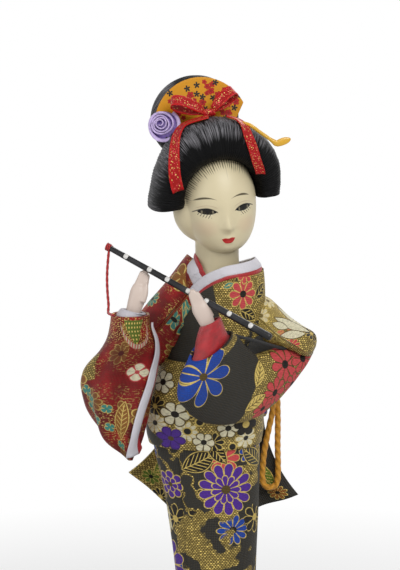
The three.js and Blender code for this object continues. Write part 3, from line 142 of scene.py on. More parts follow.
RIGHT_BAG_WIDE, RIGHT_BAG_DEEP, RIGHT_BAG_DROP = 15.4, 11.5, 70
RIGHT_BAG_TOP = RIGHT_WRIST.z - 0.5
BOW_MIDDLE = Vector((0, 28.3, 204))
BOW_SIZE = Vector((48, 15, 40))


def paint(code):
    """The linear colour of a six-digit sRGB code."""
    shares = [((code >> shift) & 255) / 255 for shift in (16, 8, 0)]
    return tuple(c / 12.92 if c <= 0.04045 else ((c + 0.055) / 1.055) ** 2.4 for c in shares)


def length(name, description, default):
    return FloatProperty(name=name, description=description, default=default, unit="LENGTH", precision=5)


def colour(name, description, code):
    return FloatVectorProperty(name=name, description=description, default=paint(code), subtype="COLOR")


class DollSizes(bpy.types.PropertyGroup):
    cloth: length("Robe cloth", "Thickness of the bodice and the skirt", 0.0009)
    sleeve_cloth: length("Sleeve cloth", "Thickness of the sleeves and of the obi's tails", 0.0011)
    obi_cloth: length("Obi cloth", "Thickness of the obi", 0.0013)
    collar_cloth: length("Collar cloth", "Thickness of the collars, the cuffs and the lining", 0.0007)
    ribbon_width: length("Ribbon width", "Width of the hair ribbon", 0.0052)
    ribbon_cloth: length("Ribbon cloth", "Thickness of the hair ribbon", 0.0005)
    flute_cord: length("Flute cord", "Diameter of the cord that hangs from the flute", 0.0012)
    obi_cord: length("Obi cord", "Diameter of the cord that hangs from the obi", 0.0018)
    strand_depth: length("Strand depth", "Depth of the combed strands of the hair", 0.00032)
    board_bevel: length("Board bevel", "Rounding of the stand's edges", 0.0016)
    camera_distance: length("Camera distance", "From the camera to the middle of the picture", 0.8)
    strands: IntProperty(name="Strands", description="Combed strands across the hair", default=110, min=10)


class DollColours(bpy.types.PropertyGroup):
    skin: colour("Skin", "Ivory of the face and the neck", 0xD9CCA8)
    hand: colour("Hands", "Paler skin of the hands", 0xD6C4B8)
    blush: colour("Blush", "Pink on the cheeks", 0xC9907C)
    lips: colour("Lips", "Red of the mouth", 0xB31410)
    brow: colour("Brows", "Brown of the brows and lids", 0x4A4128)
    hair: colour("Hair", "Black of the hair", 0x060607)
    ribbon: colour("Ribbon", "Red of the hair ribbon", 0xB80F12)
    lilac: colour("Rose", "Lilac of the ribbon rose", 0xD2BDEE)
    amber: colour("Comb", "Amber of the comb", 0xDB9608)
    pin: colour("Hairpin", "Yellow of the hairpin", 0xE3AE22)
    lacquer: colour("Lacquer", "Black of the stand and the flute", 0x0E0E11)
    white: colour("White cloth", "Collars, cuff and lining", 0xDEDBE2)
    red: colour("Red cloth", "Satin of the robe's right side", 0xA8121A)
    scarlet: colour("Scarlet cloth", "Piping and the left cuff", 0xAA111B)
    charcoal: colour("Charcoal", "Ground of the left sleeve and the skirt", 0x3A3934)
    gold: colour("Gold thread", "Gold of the brocade", 0xD2B866)
    bronze: colour("Bronze thread", "Dark threads between the gold", 0x54441E)
    cream: colour("Cream", "Petals and leaves of the brocade", 0xE2DBBB)
    coral: colour("Coral", "Flowers of the left shoulder", 0xCB4A4E)
    blue: colour("Blue", "Flower of the left sleeve", 0x17429C)
    purple: colour("Purple", "Flowers of the obi and the skirt", 0x4E2890)
    teal: colour("Teal", "Scrolls of the right sleeve", 0x3F8A80)
    green: colour("Green", "Leaves and the patch below the right hand", 0x5E7426)
    brown: colour("Brown gold", "Panels of the right sleeve", 0x8E5A26)
    black: colour("Black thread", "Dark leaves and outlines", 0x100E0C)
    cord: colour("Gold cord", "Cord that hangs from the obi", 0xD0901C)


def sizes():
    return bpy.context.scene.doll_sizes


def tint(name, shade=1.0):
    return (*(shade * c for c in getattr(bpy.context.scene.doll_colours, name)), 1.0)


# Small tools

def lerp(start, end, share):
    return start + (end - start) * share


def smooth(value, low, high):
    share = min(max((value - low) / (high - low), 0), 1)
    return share * share * (3 - 2 * share)


def bell(value, width):
    return exp(-((value / width) ** 2))


def rounded_end(share, start):
    """1 up to a share of the way, and from there the outline of a round end."""
    return sqrt(max(0.02, 1 - ((share - start) / (1 - start)) ** 2)) if share > start else 1


def track(rows):
    """A function that runs smoothly through rows of (position, value, value, ...)."""
    places = [row[0] for row in rows]

    def at(place_):
        x = min(max(place_, places[0]), places[-1])
        i = next((k for k in range(1, len(rows) - 1) if x < places[k]), len(rows) - 1)
        start, end = places[i - 1], places[i]
        before = i - 2 if i > 1 else i
        after = i + 1 if i + 1 < len(rows) else i - 1
        half = (end - start) / 2
        lead, trail = half / (start - places[before]), half / (places[after] - end)
        p = (x - start) / (end - start)
        p2, p3 = p * p, p * p * p
        weights = (
            -lead * p3 + 2 * lead * p2 - lead * p,
            (1 + lead) * p3 + (-1.5 - 2 * lead) * p2 + (-0.5 + lead) * p + 1,
            (-1 - trail) * p3 + (1.5 + trail) * p2 + 0.5 * p,
            trail * p3 - trail * p2,
        )
        near = (rows[before], rows[i - 1], rows[i], rows[after])
        return [sum(w * row[k] for w, row in zip(weights, near)) for k in range(1, len(rows[0]))]

    return at


def line_through(points):
    """A smooth curve through points, as a function of the share along it."""
    last = len(points) - 1
    curve = track([(i / last, *point) for i, point in enumerate(points)])
    return lambda share: Vector(curve(share))


def place(point):
    return Vector((point[0], point[1], point[2] + STAND_TOP)) * MM


# Body and clothes

body_at = track((
    (0, 0, 4, 24, 26),
    (45, 0, 2, 18.05, 18.65),
    (KNEE, 0, 1, 15.5, 15.5),
    (HIP, -3, 0, 20.3, 16),
    (WAIST, -3, 0, 19.8, 16),
    (CHEST, 0, 0, 17, 14),
    (SHOULDER, 1.5, 0.6, 15.2, 13),
    (COLLAR, 2.5, 2, 12.6, 12),
))


def body_surface(angle, height, lift):
    """A point of the body former, where angle 0 is the doll's left and -90 its front."""
    sway, back, wide, deep = body_at(height)
    c, s = cos(radians(angle)), sin(radians(angle))
    radius = wide * deep / hypot(deep * c, wide * s) + lift
    return Vector((sway + radius * c, back + radius * s, height))


def outside_body(point, lift):
    """The point itself, or the nearest one level with it that clears the body by a lift."""
    sway, back, _, _ = body_at(point.z)
    angle = degrees(atan2(point.y - back, point.x - sway))
    skin = body_surface(angle, point.z, lift)
    middle = Vector((sway, back, point.z))
    return skin if (point - middle).length < (skin - middle).length else point


def from_back(across):
    """The angle at a share of the way round the body, from the seam at the back."""
    return lerp(-270, 90, across)


def hip(angle, height):
    """How far the clothes stand out over the doll's right hip."""
    return HIP_SWELL * max(0, cos(radians(angle - 188))) ** 4 * bell(height - 184, 20)


def skirt_surface(angle, height, lift):
    turn = radians(angle)
    lift += hip(angle, height)
    open_ = 1 - smooth(height, 0, 135)
    train = max(0, sin(turn))
    fold = 0.5 + 0.5 * cos(FOLD_COUNT * turn + 0.02 * height)
    return body_surface(angle, height, lift + open_ * open_ * (11 + 9 * train) + open_ * 3.4 * fold)


right_neckline = track((
    (BODICE_LOW, 288), (230, 280), (245, 248), (251, 230), (256, 211), (258.4, 198), (BODICE_HIGH, 186),
))
left_neckline = track((
    (BODICE_LOW, -172), (230, -157), (241.5, -135), (253, -110),
    (257.3, -76), (258.6, -45), (BODICE_HIGH, -6),
))

right_bag_shape = track((
    (0, -0.065, 0.04, 1, 0, 0),
    (0.07, -0.085, 0.13, 1, 0.02, 0.02),
    (0.17, -0.065, 0.52, 0.7, 0.32, 0.38),
    (0.26, -0.16, 0.87, 0.4, 0.62, 0.68),
    (0.37, -0.36, 1.22, 0.1, 0.92, 0.95),
    (0.49, -0.455, 1.39, 0, 1, 0.96),
    (0.65, -0.475, 1.39, 0, 0.86, 0.82),
    (0.84, -0.365, 1.39, 0, 0.55, 0.55),
    (0.96, -0.195, 1.39, 0, 0.2, 0.22),
    (1, -0.13, 1.39, 0, 0.1, 0.12),
))


def right_bag_surface(angle, share, lift):
    sideways, back, mouth, wide_share, deep_share = right_bag_shape(share)
    wide = mouth * CUFF_RADIUS + wide_share * RIGHT_BAG_WIDE
    deep = mouth * CUFF_RADIUS + deep_share * RIGHT_BAG_DEEP
    turn = radians(angle)
    hanging = smooth(share, 0.15, 0.5) * (1 - smooth(share, 0.8, 1))
    fold = 1.5 * hanging * cos(5 * turn + 7 * share)
    x = RIGHT_WRIST.x + sideways * RIGHT_BAG_WIDE + (wide + fold + lift) * cos(turn)
    y = RIGHT_WRIST.y + back * RIGHT_BAG_DEEP + (deep + fold + lift) * sin(turn)
    return Vector((x, y, RIGHT_BAG_TOP - RIGHT_BAG_DROP * share))


left_bag_edges = track((
    (0, -54, -15.5, -58, -20, 0.8),
    (0.15, -48, -15.5, -49, -29, 1.05),
    (0.3, -39, -14.5, -37, -40, 1.1),
    (0.45, -31.5, -14.5, -25, -46, 1.1),
    (0.6, -24.5, -15, -10, -47, 1.05),
    (0.75, -17.5, -10, 6, -44, 1),
    (0.85, -13, -5, 17, -36, 1),
    (0.93, -10, -1.8, 22, -27, 1),
    (1, -8, -1, 14, -12, 1),
))
LEFT_FOREARM = Vector((LEFT_WRIST.x - LEFT_ELBOW.x, LEFT_WRIST.y - LEFT_ELBOW.y, 0))
LEFT_ALONG = LEFT_FOREARM.normalized()
LEFT_OUT = Vector((-LEFT_ALONG.y, LEFT_ALONG.x, 0))


def left_bag_surface(angle, share, lift):
    top_along, top_up, low_along, low_up, deep = left_bag_edges(share)
    c, s = cos(radians(angle)), sin(radians(angle))
    along_scale, drop_scale = LEFT_FOREARM.length / 52, 46 / 48
    half = Vector(((top_along - low_along) * along_scale, (top_up - low_up) * drop_scale)) / 2
    reach = s * (1 + lift / half.length)
    along = (top_along + low_along) * along_scale / 2 + half.x * reach
    up = (top_up + low_up) * drop_scale / 2 + half.y * reach
    fold = 0.6 * max(0, -s) * cos(12 * share)
    out = (7.4 * deep + fold + lift) * c
    return LEFT_WRIST + LEFT_ALONG * along + LEFT_OUT * out + Vector((0, 0.2 * max(0, -up), up))


# Head and hair

HEAD_FRAME = (
    Matrix.Translation((0.5, -1.5, 291))
    @ Matrix.Rotation(radians(14), 4, "Z")
    @ Matrix.Rotation(radians(5), 4, "X")
    @ Matrix.Rotation(radians(-6.5), 4, "Y")
)
COMB_FRAME = Matrix.Translation(COMB_FOOT) @ Matrix.Rotation(radians(-14), 4, "X")


def in_head(point):
    return place(HEAD_FRAME @ Vector(point))


nose_at = track((
    (-HEAD_HALF.z, 0, 2), (-12.8, 0, 1.2), (-11.5, 0.6, 1.4), (-10.4, 1.7, 1.8), (-9.2, 2.8, 2.2),
    (-7.2, 2.5, 2.2), (-4, 1.35, 2), (0, 0.5, 2.2), (5, 0, 2.4), (HEAD_HALF.z, 0, 2.4),
))


def face_relief(x, z):
    """How far the face stands forward of the plain head."""
    side = x - FACE_MIDDLE
    height, width = nose_at(z)
    nose = height * bell(side, width) + 0.3 * bell(abs(side) - 2.0, 0.8) * bell(z + 9.2, 0.9)
    lips = 0.75 * bell(side, 2.6) * bell(z + 14.1, 0.8) + 0.8 * bell(side, 2.1) * bell(z + 15.9, 0.9)
    parting = -0.35 * bell(side, 2.7) * bell(z + 14.95, 0.35)
    chin = 0.8 * bell(side, 4.2) * bell(z + 19.4, 2.2)
    cheeks = 0.6 * bell(abs(side) - 9, 4.5) * bell(z + 9.5, 5)
    sockets = -0.75 * bell(abs(side) - EYE_OFFSET, 4.2) * bell(z - EYE_HEIGHT, 2.6)
    lids = 0.35 * bell(abs(side) - EYE_OFFSET, 3.6) * bell(z - EYE_HEIGHT - 2.2, 0.9)
    return nose + lips + parting + chin + cheeks + sockets + lids


def face_span(z):
    """The half width of the head at a share of its height, full at the jaw."""
    if z >= 0:
        return sqrt(1 - z * z)
    return (1 - (-z) ** 2.5) ** 0.4 * (1 - JAW * (-z) ** 1.6)


def head_surface(longitude, latitude, lift=0.0):
    """A point of the head at a longitude, where 0 is the face, and a latitude in radians."""
    z, level = sin(latitude), cos(latitude)
    forward = CHIN_FORWARD * z * z if z < 0 else 0
    x = sin(longitude) * face_span(z) * (HEAD_HALF.x + lift)
    front = max(0, cos(longitude))
    relief = face_relief(x, z * HEAD_HALF.z) * smooth(front, 0.05, 0.5) if front else 0
    y = -cos(longitude) * level * (HEAD_HALF.y + lift) - forward - relief
    return Vector((x, y, z * (HEAD_HALF.z + lift)))


def face_point(x, z, lift):
    """A point of the face straight in front of x and z, lifted off it."""
    share = z / HEAD_HALF.z
    longitude = asin(x / (HEAD_HALF.x * face_span(share)))
    return head_surface(longitude, asin(share)) + Vector((0, -lift, 0))


def outside_head(point, lift):
    """The point itself, or the one further out that clears the head by a lift."""
    shares = Vector([p / (half + lift) for p, half in zip(point, HEAD_HALF)])
    return point / shares.length if shares.length < 1 else point


hair_ring = track(((0, 19.6, HAIR_TOP, -16.5, 3.5), (45, 18.2, 33.6, -14.5, 8.5),
                   (90, 15.4, 29, -9, 16), (WING_ANGLE, 14.6, 33.4, -7, 16)))


def hair_surface(crown, turn, lift):
    """A point of the front roll: an angle from the crown, and one round the section, 90 in front."""
    inner, outer, front, back = hair_ring(abs(crown))
    outer += 3 * smooth(-crown, 60, 110) - 1.2 * smooth(crown, 60, 110) + 2.3 * bell(crown + 27, 15)
    c, s = cos(radians(turn)), sin(radians(turn))
    fullness = (abs(c) ** 2.6 + abs(s) ** 2.6) ** (-1 / 2.6)
    out = (inner + outer) / 2 + c * fullness * ((outer - inner) / 2 + lift)
    y = (front + back) / 2 - s * fullness * ((back - front) / 2 + lift)
    return Vector((out * sin(radians(crown)), y, out * cos(radians(crown))))


def flute_at(reach):
    return RIGHT_GRIP + FLUTE_DIRECTION * reach


# Meshes

def bent_sheet(columns, rows, spot, picture=None, wraps=False):
    """A grid bent into place. spot and picture take the shares across and along it."""
    mesh = bmesh.new()
    layer = mesh.loops.layers.uv.new("cloth")
    bmesh.ops.create_grid(mesh, x_segments=columns, y_segments=rows, size=1)
    shares = {v.index: ((v.co.x + 1) / 2, (v.co.y + 1) / 2) for v in mesh.verts}
    for face in mesh.faces:
        for loop in face.loops:
            across, along = shares[loop.vert.index]
            loop[layer].uv = picture(across, along) if picture else (across, along)
    for v in mesh.verts:
        v.co = spot(*shares[v.index])
    if wraps:
        bmesh.ops.remove_doubles(mesh, verts=mesh.verts, dist=1e-6)
    return mesh


def face_outwards(mesh):
    bmesh.ops.recalc_face_normals(mesh, faces=mesh.faces)
    return mesh


def close_ends(mesh, far=lambda vertex: True):
    """Fill the open rims of a tube that lie far enough out, and turn its faces outwards."""
    rim = [edge for edge in mesh.edges if edge.is_boundary and far(edge.verts[0]) and far(edge.verts[1])]
    bmesh.ops.holes_fill(mesh, edges=rim, sides=0)
    return face_outwards(mesh)


def cut_away(mesh, at, towards):
    """Cut a mesh at a plane in the head's frame, and clear what lies beyond it."""
    geometry = [*mesh.verts, *mesh.edges, *mesh.faces]
    normal = HEAD_FRAME.to_3x3() @ Vector(towards)
    bmesh.ops.bisect_plane(mesh, geom=geometry, dist=1e-7, plane_co=in_head(at), plane_no=normal,
                           clear_outer=True)


def round_edges(mesh, edges, offset, segments):
    bmesh.ops.bevel(mesh, geom=edges, offset=offset, offset_type="OFFSET", affect="EDGES", segments=segments,
                    profile=0.5, material=-1)


def relax(mesh, verts, rounds):
    for _ in range(rounds):
        bmesh.ops.smooth_vert(mesh, verts=verts, factor=0.5, use_axis_x=True, use_axis_y=True,
                              use_axis_z=True)


def tube(points, radius, sides=16, rows=24, side=BACKWARDS):
    """A tube along a smooth curve. radius takes the share along it and the angle round it."""
    curve = line_through(points)

    def spot(across, along):
        ahead, behind = curve(min(along + 0.01, 1)), curve(max(along - 0.01, 0))
        tangent = (ahead - behind).normalized()
        through = side.cross(tangent).normalized()
        over = tangent.cross(through)
        angle = TURN * across
        wide, deep = radius(along, angle)
        return place(curve(along) + over * wide * cos(angle) + through * deep * sin(angle))

    return close_ends(bent_sheet(sides, rows, spot, wraps=True))


def swept(path, sides, radius, long):
    """A closed tube through every point of a path. radius takes the share along it and the angle round it."""
    frames = carried_frames(path)
    rows = len(path) - 1

    def spot(across, along):
        i = round(along * rows)
        over, through = frames[i]
        angle = TURN * across
        return place(path[i] + (over * cos(angle) + through * sin(angle)) * radius(along, angle))

    return close_ends(bent_sheet(sides, rows, spot, lambda s, t: (s, t * long), wraps=True))


def beside(surface, path, share, offset, lift):
    """A point of a strip that follows a path over a surface, offset to the left of the path."""
    step = 0.01
    p, q = path(share)
    along_p = (surface(p + step, q, lift) - surface(p - step, q, lift)) / (2 * step)
    along_q = (surface(p, q + step, lift) - surface(p, q - step, lift)) / (2 * step)
    ahead, behind = surface(*path(min(share + step, 1)), lift), surface(*path(max(share - step, 0)), lift)
    across = along_p.cross(along_q).normalized().cross((ahead - behind).normalized())
    pp, qq, pq = along_p.dot(along_p), along_q.dot(along_q), along_p.dot(along_q)
    ap, aq = across.dot(along_p), across.dot(along_q)
    area = pp * qq - pq * pq
    step_p, step_q = (ap * qq - aq * pq) / area, (aq * pp - ap * pq) / area
    return surface(p + step_p * offset, q + step_q * offset, lift)


def mesh_data(mesh, name):
    """A mesh that an object can hold, from a bmesh, which is freed."""
    data = bpy.data.meshes.new(name)
    mesh.to_mesh(data)
    mesh.free()
    return data


def add_object(name, data):
    added = bpy.data.objects.new(name, data)
    bpy.context.scene.collection.objects.link(added)
    return added


def add_piece(mesh, name, body, look, slot, *nodes, wall=0.0, inwards=True):
    """A finished piece from a mesh, which rides on a body, if one is named, and stands for CAD nodes.

    A sheet is given a wall, its thickness, inwards or outwards of the mesh.
    """
    piece = add_object(name, mesh_data(mesh, name))
    piece.data.shade_smooth()
    piece.data.materials.append(look)
    if body:
        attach(piece, body)
    if nodes:
        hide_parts(*nodes)
    if wall:
        cloth = piece.modifiers.new("thickness", "SOLIDIFY")
        cloth.thickness, cloth.offset, cloth.use_even_offset = wall, -1 if inwards else 1, False
    return piece


def apply_modifiers(piece):
    """Bake the piece's modifiers into its mesh."""
    shaped = piece.evaluated_get(bpy.context.evaluated_depsgraph_get())
    data = bpy.data.meshes.new_from_object(shaped)
    data.materials.clear()
    for slot_ in piece.material_slots:
        data.materials.append(slot_.material)
    piece.modifiers.clear()
    piece.data = data
    data.shade_smooth()


def fuse(piece, voxel, rounds):
    """Join the shells of a piece into one smooth skin."""
    skin = piece.modifiers.new("skin", "REMESH")
    skin.mode = "VOXEL"
    skin.voxel_size = voxel
    apply_modifiers(piece)
    mesh = bmesh.new()
    mesh.from_mesh(piece.data)
    relax(mesh, mesh.verts, rounds)
    mesh.to_mesh(piece.data)
    mesh.free()
    piece.data.shade_smooth()


def join_into(target, other):
    """Add the shell of another mesh to a mesh."""
    data = mesh_data(other, "shell")
    target.from_mesh(data)
    bpy.data.meshes.remove(data)


def run_length(points):
    return sum((b - a).length for a, b in zip(points, points[1:]))


def declare_cloth(piece, spot, held, rests_on, *sewn_on):
    """Work out a sheet's longest runs across it and along it, and its area, which nothing uses further."""
    shares = [i / 24 for i in range(25)]
    wide = max(run_length([spot(s, t) for s in shares]) for t in shares[::3])
    long = max(run_length([spot(s, t) for t in shares]) for s in shares[::3])
    wide, long = max(wide, NARROWEST), max(long, NARROWEST)
    area = sum(face.area for face in piece.data.polygons)
    area = min(max(area, 0.301 * wide * long), wide * long)


# Materials

def overload(operation):
    """A method that works on a tone, and on another value if there is one, in a Math node."""
    return lambda tone, *others: tone.math(operation, *others)


class Tone:
    """A shader socket that Python expressions work on."""

    def __init__(self, board, socket):
        self.board, self.socket = board, socket

    def math(self, operation, *others):
        return self.board.node("Math", dict(enumerate((self, *others))), operation=operation)

    __add__ = __radd__ = overload("ADD")
    __mul__ = __rmul__ = overload("MULTIPLY")
    __sub__, __truediv__ = overload("SUBTRACT"), overload("DIVIDE")
    __pow__, __abs__ = overload("POWER"), overload("ABSOLUTE")

    def __rsub__(self, other):
        return self.board.node("Math", {0: other, 1: self}, operation="SUBTRACT")

    def step(self, soft):
        return self.board.node("MapRange", {0: self, 1: -soft / 2, 2: soft / 2})

    def below(self, edge, soft=0.25):
        """1 where this is less than the edge, 0 where it is more, with a soft step between."""
        return (edge - self).step(soft)

    def above(self, edge, soft=0.25):
        return (self - edge).step(soft)

    def wave(self, pitch, shift=0.0):
        """A cosine of the given pitch, from 0 to 1."""
        return (self * (TURN / pitch) + shift).math("COSINE") * 0.5 + 0.5


class Board:
    """A node tree in the making, with a colour and a share of metal that are laid over step by step."""

    colour, metal = (0.5, 0.5, 0.5, 1), 0.0

    def feed(self, socket, value):
        """Link a socket to a tone, or set it to a value or a named colour."""
        if isinstance(value, Tone):
            self.tree.links.new(value.socket, socket)
        else:
            socket.default_value = tint(value) if isinstance(value, str) else value

    def node(self, kind, inputs=None, output=0, **settings):
        """One output of a new shader node, whose settings are set before its inputs are fed."""
        made = self.tree.nodes.new(f"ShaderNode{kind}")
        for key, value in settings.items():
            setattr(made, key, value)
        for key, value in (inputs or {}).items():
            self.feed(made.inputs[key], value)
        return Tone(self, made.outputs[output])

    def split(self, vector):
        apart = self.node("SeparateXYZ", {0: vector})
        return [Tone(self, out) for out in apart.socket.node.outputs]

    def vector(self, x=0.0, y=0.0, z=0.0):
        return self.node("CombineXYZ", {0: x, 1: y, 2: z})

    def noise(self, scale, vector=None, detail=2.0, roughness=0.5):
        inputs = {"Vector": vector or self.flat, "Scale": scale, "Detail": detail, "Roughness": roughness}
        return self.node("TexNoise", inputs)

    def streaks(self, across, along, detail=2.0, roughness=0.5):
        """Noise drawn out by the scales of its two directions."""
        return self.noise(1.0, self.vector(across, along), detail, roughness)

    def seen(self):
        """1 for rays from the camera, straight or by way of a shiny or a clear surface."""
        rays = self.node("LightPath").socket.node.outputs
        kinds = ("Is Camera Ray", "Is Glossy Ray", "Is Transmission Ray")
        straight, shiny, clear = (Tone(self, rays[kind]) for kind in kinds)
        return (straight + shiny + clear).math("MINIMUM", 1.0)

    def mix(self, share, first, second):
        return self.node("Mix", {0: share, 6: first, 7: second}, 2, data_type="RGBA")

    def lay(self, mask, colour_, metal=None):
        """Lay a colour over what is there, where the mask is 1."""
        self.colour = self.mix(mask, self.colour, colour_)
        if metal is not None:
            self.metal = self.node("Mix", {0: mask, 2: self.metal, 3: metal})


class Motif(Board):
    """A brocade motif as a node group, which lays its colours over those that come in."""

    def __init__(self, name, numbers, colours):
        self.tree = bpy.data.node_groups.new(name, "ShaderNodeTree")
        places = {"Flat": "Vector", "At": "Vector"}
        results = {"Colour": "Color", "Metal": "Float"}
        choices = {**dict.fromkeys(numbers, "Float"), **dict.fromkeys(colours, "Color")}
        for socket, kind in {**places, **choices, **results}.items():
            self.tree.interface.new_socket(socket, in_out="INPUT", socket_type=f"NodeSocket{kind}")
        for socket, kind in results.items():
            self.tree.interface.new_socket(socket, in_out="OUTPUT", socket_type=f"NodeSocket{kind}")
        entry = self.tree.nodes.new("NodeGroupInput")
        self.given = {out.name: Tone(self, out) for out in entry.outputs if out.name}
        self.colour, self.metal = self.given["Colour"], self.given["Metal"]
        ends = {0: self.given["Flat"], 1: self.given["At"]}
        offset = self.node("VectorMath", ends, operation="SUBTRACT")
        self.du, self.dv, _ = self.split(offset)
        self.reach = self.node("VectorMath", {0: offset}, "Value", operation="LENGTH")

    def done(self):
        out = self.tree.nodes.new("NodeGroupOutput")
        self.feed(out.inputs["Colour"], self.colour)
        self.feed(out.inputs["Metal"], self.metal)
        return self.tree


def flower_motif():
    """Petals round a heart, each petal with an outline."""
    numbers = ("Radius", "Petals", "Turn", "Heart", "Slim", "Where")
    motif = Motif("flower", numbers, ("Petal", "Outline", "Middle"))
    radius, petals, turn, heart, slim, where = (motif.given[number] for number in numbers)
    angle = motif.dv.math("ARCTAN2", motif.du)
    lobe = abs((angle * petals * 0.5 + turn).math("COSINE"))
    rim = radius * (1 - slim + slim * lobe ** 0.6)
    line = (radius * 0.1).math("MINIMUM", 0.55)
    motif.lay(motif.reach.below(rim) * where, motif.given["Outline"], 0.4)
    motif.lay(motif.reach.below(rim - line) * lobe.above(0.3, 0.12) * where, motif.given["Petal"], 0.0)
    motif.lay(motif.reach.below(radius * heart) * where, motif.given["Middle"], 0.2)
    return motif.done()


def leaf_motif():
    """A pointed leaf with a rib and side veins."""
    motif = Motif("leaf", ("Half Length", "Half Width", "Turn"), ("Fill", "Vein"))
    c, s = motif.given["Turn"].math("COSINE"), motif.given["Turn"].math("SINE")
    x, y = motif.du * c + motif.dv * s, abs(motif.dv * c - motif.du * s)
    belly = motif.given["Half Width"] * (1 - (x / motif.given["Half Length"]) ** 2.0)
    motif.lay(y.below(belly + 0.4), motif.given["Vein"], 0.4)
    motif.lay(y.below(belly), motif.given["Fill"], 0.0)
    veins = (x - y * 1.1).wave(2.2).above(0.88, 0.15).math("MAXIMUM", y.below(0.2))
    motif.lay(veins * y.below(belly - 0.5), motif.given["Vein"], 0.4)
    return motif.done()


def dot_motif():
    motif = Motif("dot", ("Radius",), ("Fill", "Ring"))
    motif.lay(motif.reach.below(motif.given["Radius"]), motif.given["Ring"], 0.4)
    motif.lay(motif.reach.below(motif.given["Radius"] * 0.72), motif.given["Fill"], 0.0)
    return motif.done()


class Look(Board):
    """A material, with the nodes that make its colour, roughness and relief."""

    def __init__(self, name, roughness=0.5, constants=None):
        self.material = bpy.data.materials.new(name)
        self.material.use_nodes = True
        self.tree = self.material.node_tree
        self.shader = self.tree.nodes["Principled BSDF"]
        self.roughness, self.height = roughness, None
        for socket, value in (constants or {}).items():
            self.shader.inputs[socket].default_value = value

    def cloth_map(self):
        """The piece's own flat coordinates, in millimetres."""
        self.flat = self.node("UVMap", uv_map="cloth")
        self.u, self.v, _ = self.split(self.flat)
        return self.u, self.v

    def head_map(self):
        """Coordinates in the head's own frame, in millimetres."""
        self.flat = self.node("Mapping", {
            "Vector": self.node("TexCoord", output="Object"),
            "Location": place(HEAD_FRAME.translation),
            "Rotation": HEAD_FRAME.to_euler("XYZ"),
            "Scale": (MM, MM, MM),
        }, vector_type="TEXTURE")
        return self.split(self.flat)

    def object_map(self):
        """Coordinates of the whole object, in metres."""
        self.flat = self.node("TexCoord", output="Object")
        return self.split(self.flat)

    def stamp(self, kind, at, values):
        """Lay a motif over the cloth at a place."""
        makers = {"flower": flower_motif, "leaf": leaf_motif, "dot": dot_motif}
        tree = bpy.data.node_groups.get(kind) or makers[kind]()
        given = {"Flat": self.flat, "At": at, "Colour": self.colour, "Metal": self.metal, **values}
        self.colour = self.node("Group", given, "Colour", node_tree=tree)
        self.metal = Tone(self, self.colour.socket.node.outputs["Metal"])

    def done(self, depth=0.0002):
        self.feed(self.shader.inputs["Base Color"], self.colour)
        self.feed(self.shader.inputs["Metallic"], self.metal)
        if isinstance(self.metal, Tone):
            self.roughness = self.roughness - self.metal * 0.3
        self.feed(self.shader.inputs["Roughness"], self.roughness)
        if self.height is not None:
            relief = {"Height": self.height, "Distance": depth, "Strength": 1.0}
            self.feed(self.shader.inputs["Normal"], self.node("Bump", relief, "Normal"))
        return self.material


# Brocade, on a look's flat coordinates in millimetres

def flower(look, at, radius, petals, colours, turn=0.0, heart=0.22, slim=0.45, where=1.0):
    """Stamp a flower in the colours of its petals, their outlines and its middle."""
    spot = at if isinstance(at, Tone) else (*at, 0)
    shape = {"Radius": radius, "Petals": petals, "Turn": turn, "Heart": heart, "Slim": slim, "Where": where}
    look.stamp("flower", spot, {**shape, **dict(zip(("Petal", "Outline", "Middle"), colours))})


def leaf(look, at, half_length, half_width, turn, fill, vein="gold"):
    shape = {"Half Length": half_length, "Half Width": half_width, "Turn": turn}
    look.stamp("leaf", (*at, 0), {**shape, "Fill": fill, "Vein": vein})


def dot(look, at, radius, fill, ring):
    look.stamp("dot", (*at, 0), {"Radius": radius, "Fill": fill, "Ring": ring})


def stripe(look, start, end, half_width, soft=0.4, sway=0.0):
    """A mask for a band between two places, straight or swaying."""
    run = Vector(end) - Vector(start)
    along = run.normalized()
    x, y = look.u - start[0], look.v - start[1]
    reach, off = x * along.x + y * along.y, y * along.x - x * along.y
    off = abs(off + sway * (look.noise(0.13) - 0.5)) if sway else abs(off)
    return off.below(half_width, soft) * reach.above(0, soft) * reach.below(run.length, soft)


def weave(look, warp=0.62, weft=0.5):
    """Crossing threads, as a relief and as a light and dark pattern."""
    threads = look.u.wave(warp) * 0.5 + look.v.wave(weft) * 0.5
    look.height = threads
    return threads


def gold_thread(look):
    """The colour of gold dashes between dark threads. Each dash has its own brightness of gold, and the few
    brightest are painted glints.
    """
    row = (look.v / 0.8).math("FLOOR")
    shifted = look.u + row * 0.6
    dash = shifted.wave(1.2) * look.v.wave(0.8, pi)
    place_ = look.vector((shifted / 1.2).math("ROUND"), row)
    chance = look.node("TexWhiteNoise", {"Vector": place_}, noise_dimensions="2D")
    # Painted glints: a few dashes at random are laid far brighter than the gold.
    glitter = look.mix(chance ** 3.0, tint("gold", 0.6), tint("gold", 1.7))
    return look.mix(dash.above(0.2, 0.3), "bronze", glitter)


def gold_band(look, start, end, half_width, metal=0.25, sway=0.0):
    look.lay(stripe(look, start, end, half_width, sway=sway), gold_thread(look), metal)


def gold_ground(look):
    weave(look)
    look.colour = gold_thread(look)
    look.lay(look.noise(0.22, detail=3.0).above(0.6, 0.16) * 0.35, "bronze")
    look.roughness, look.metal = 0.5, 0.2


def dark_ground(look):
    threads = weave(look, 0.75, 0.8)
    look.colour = look.mix(threads, "black", "charcoal")
    look.roughness = 0.65


def gold_cloud(look, scale, edge):
    """Drifting bands of gold cloth over the ground."""
    drift = look.noise(scale, detail=3.0)
    look.lay(drift.above(edge, 0.02), gold_thread(look), 0.2)


def glitter(look):
    """Short gold stitches strewn over the cloth."""
    return look.streaks(look.u * 0.9, look.v * 1.7).above(0.59, 0.08)


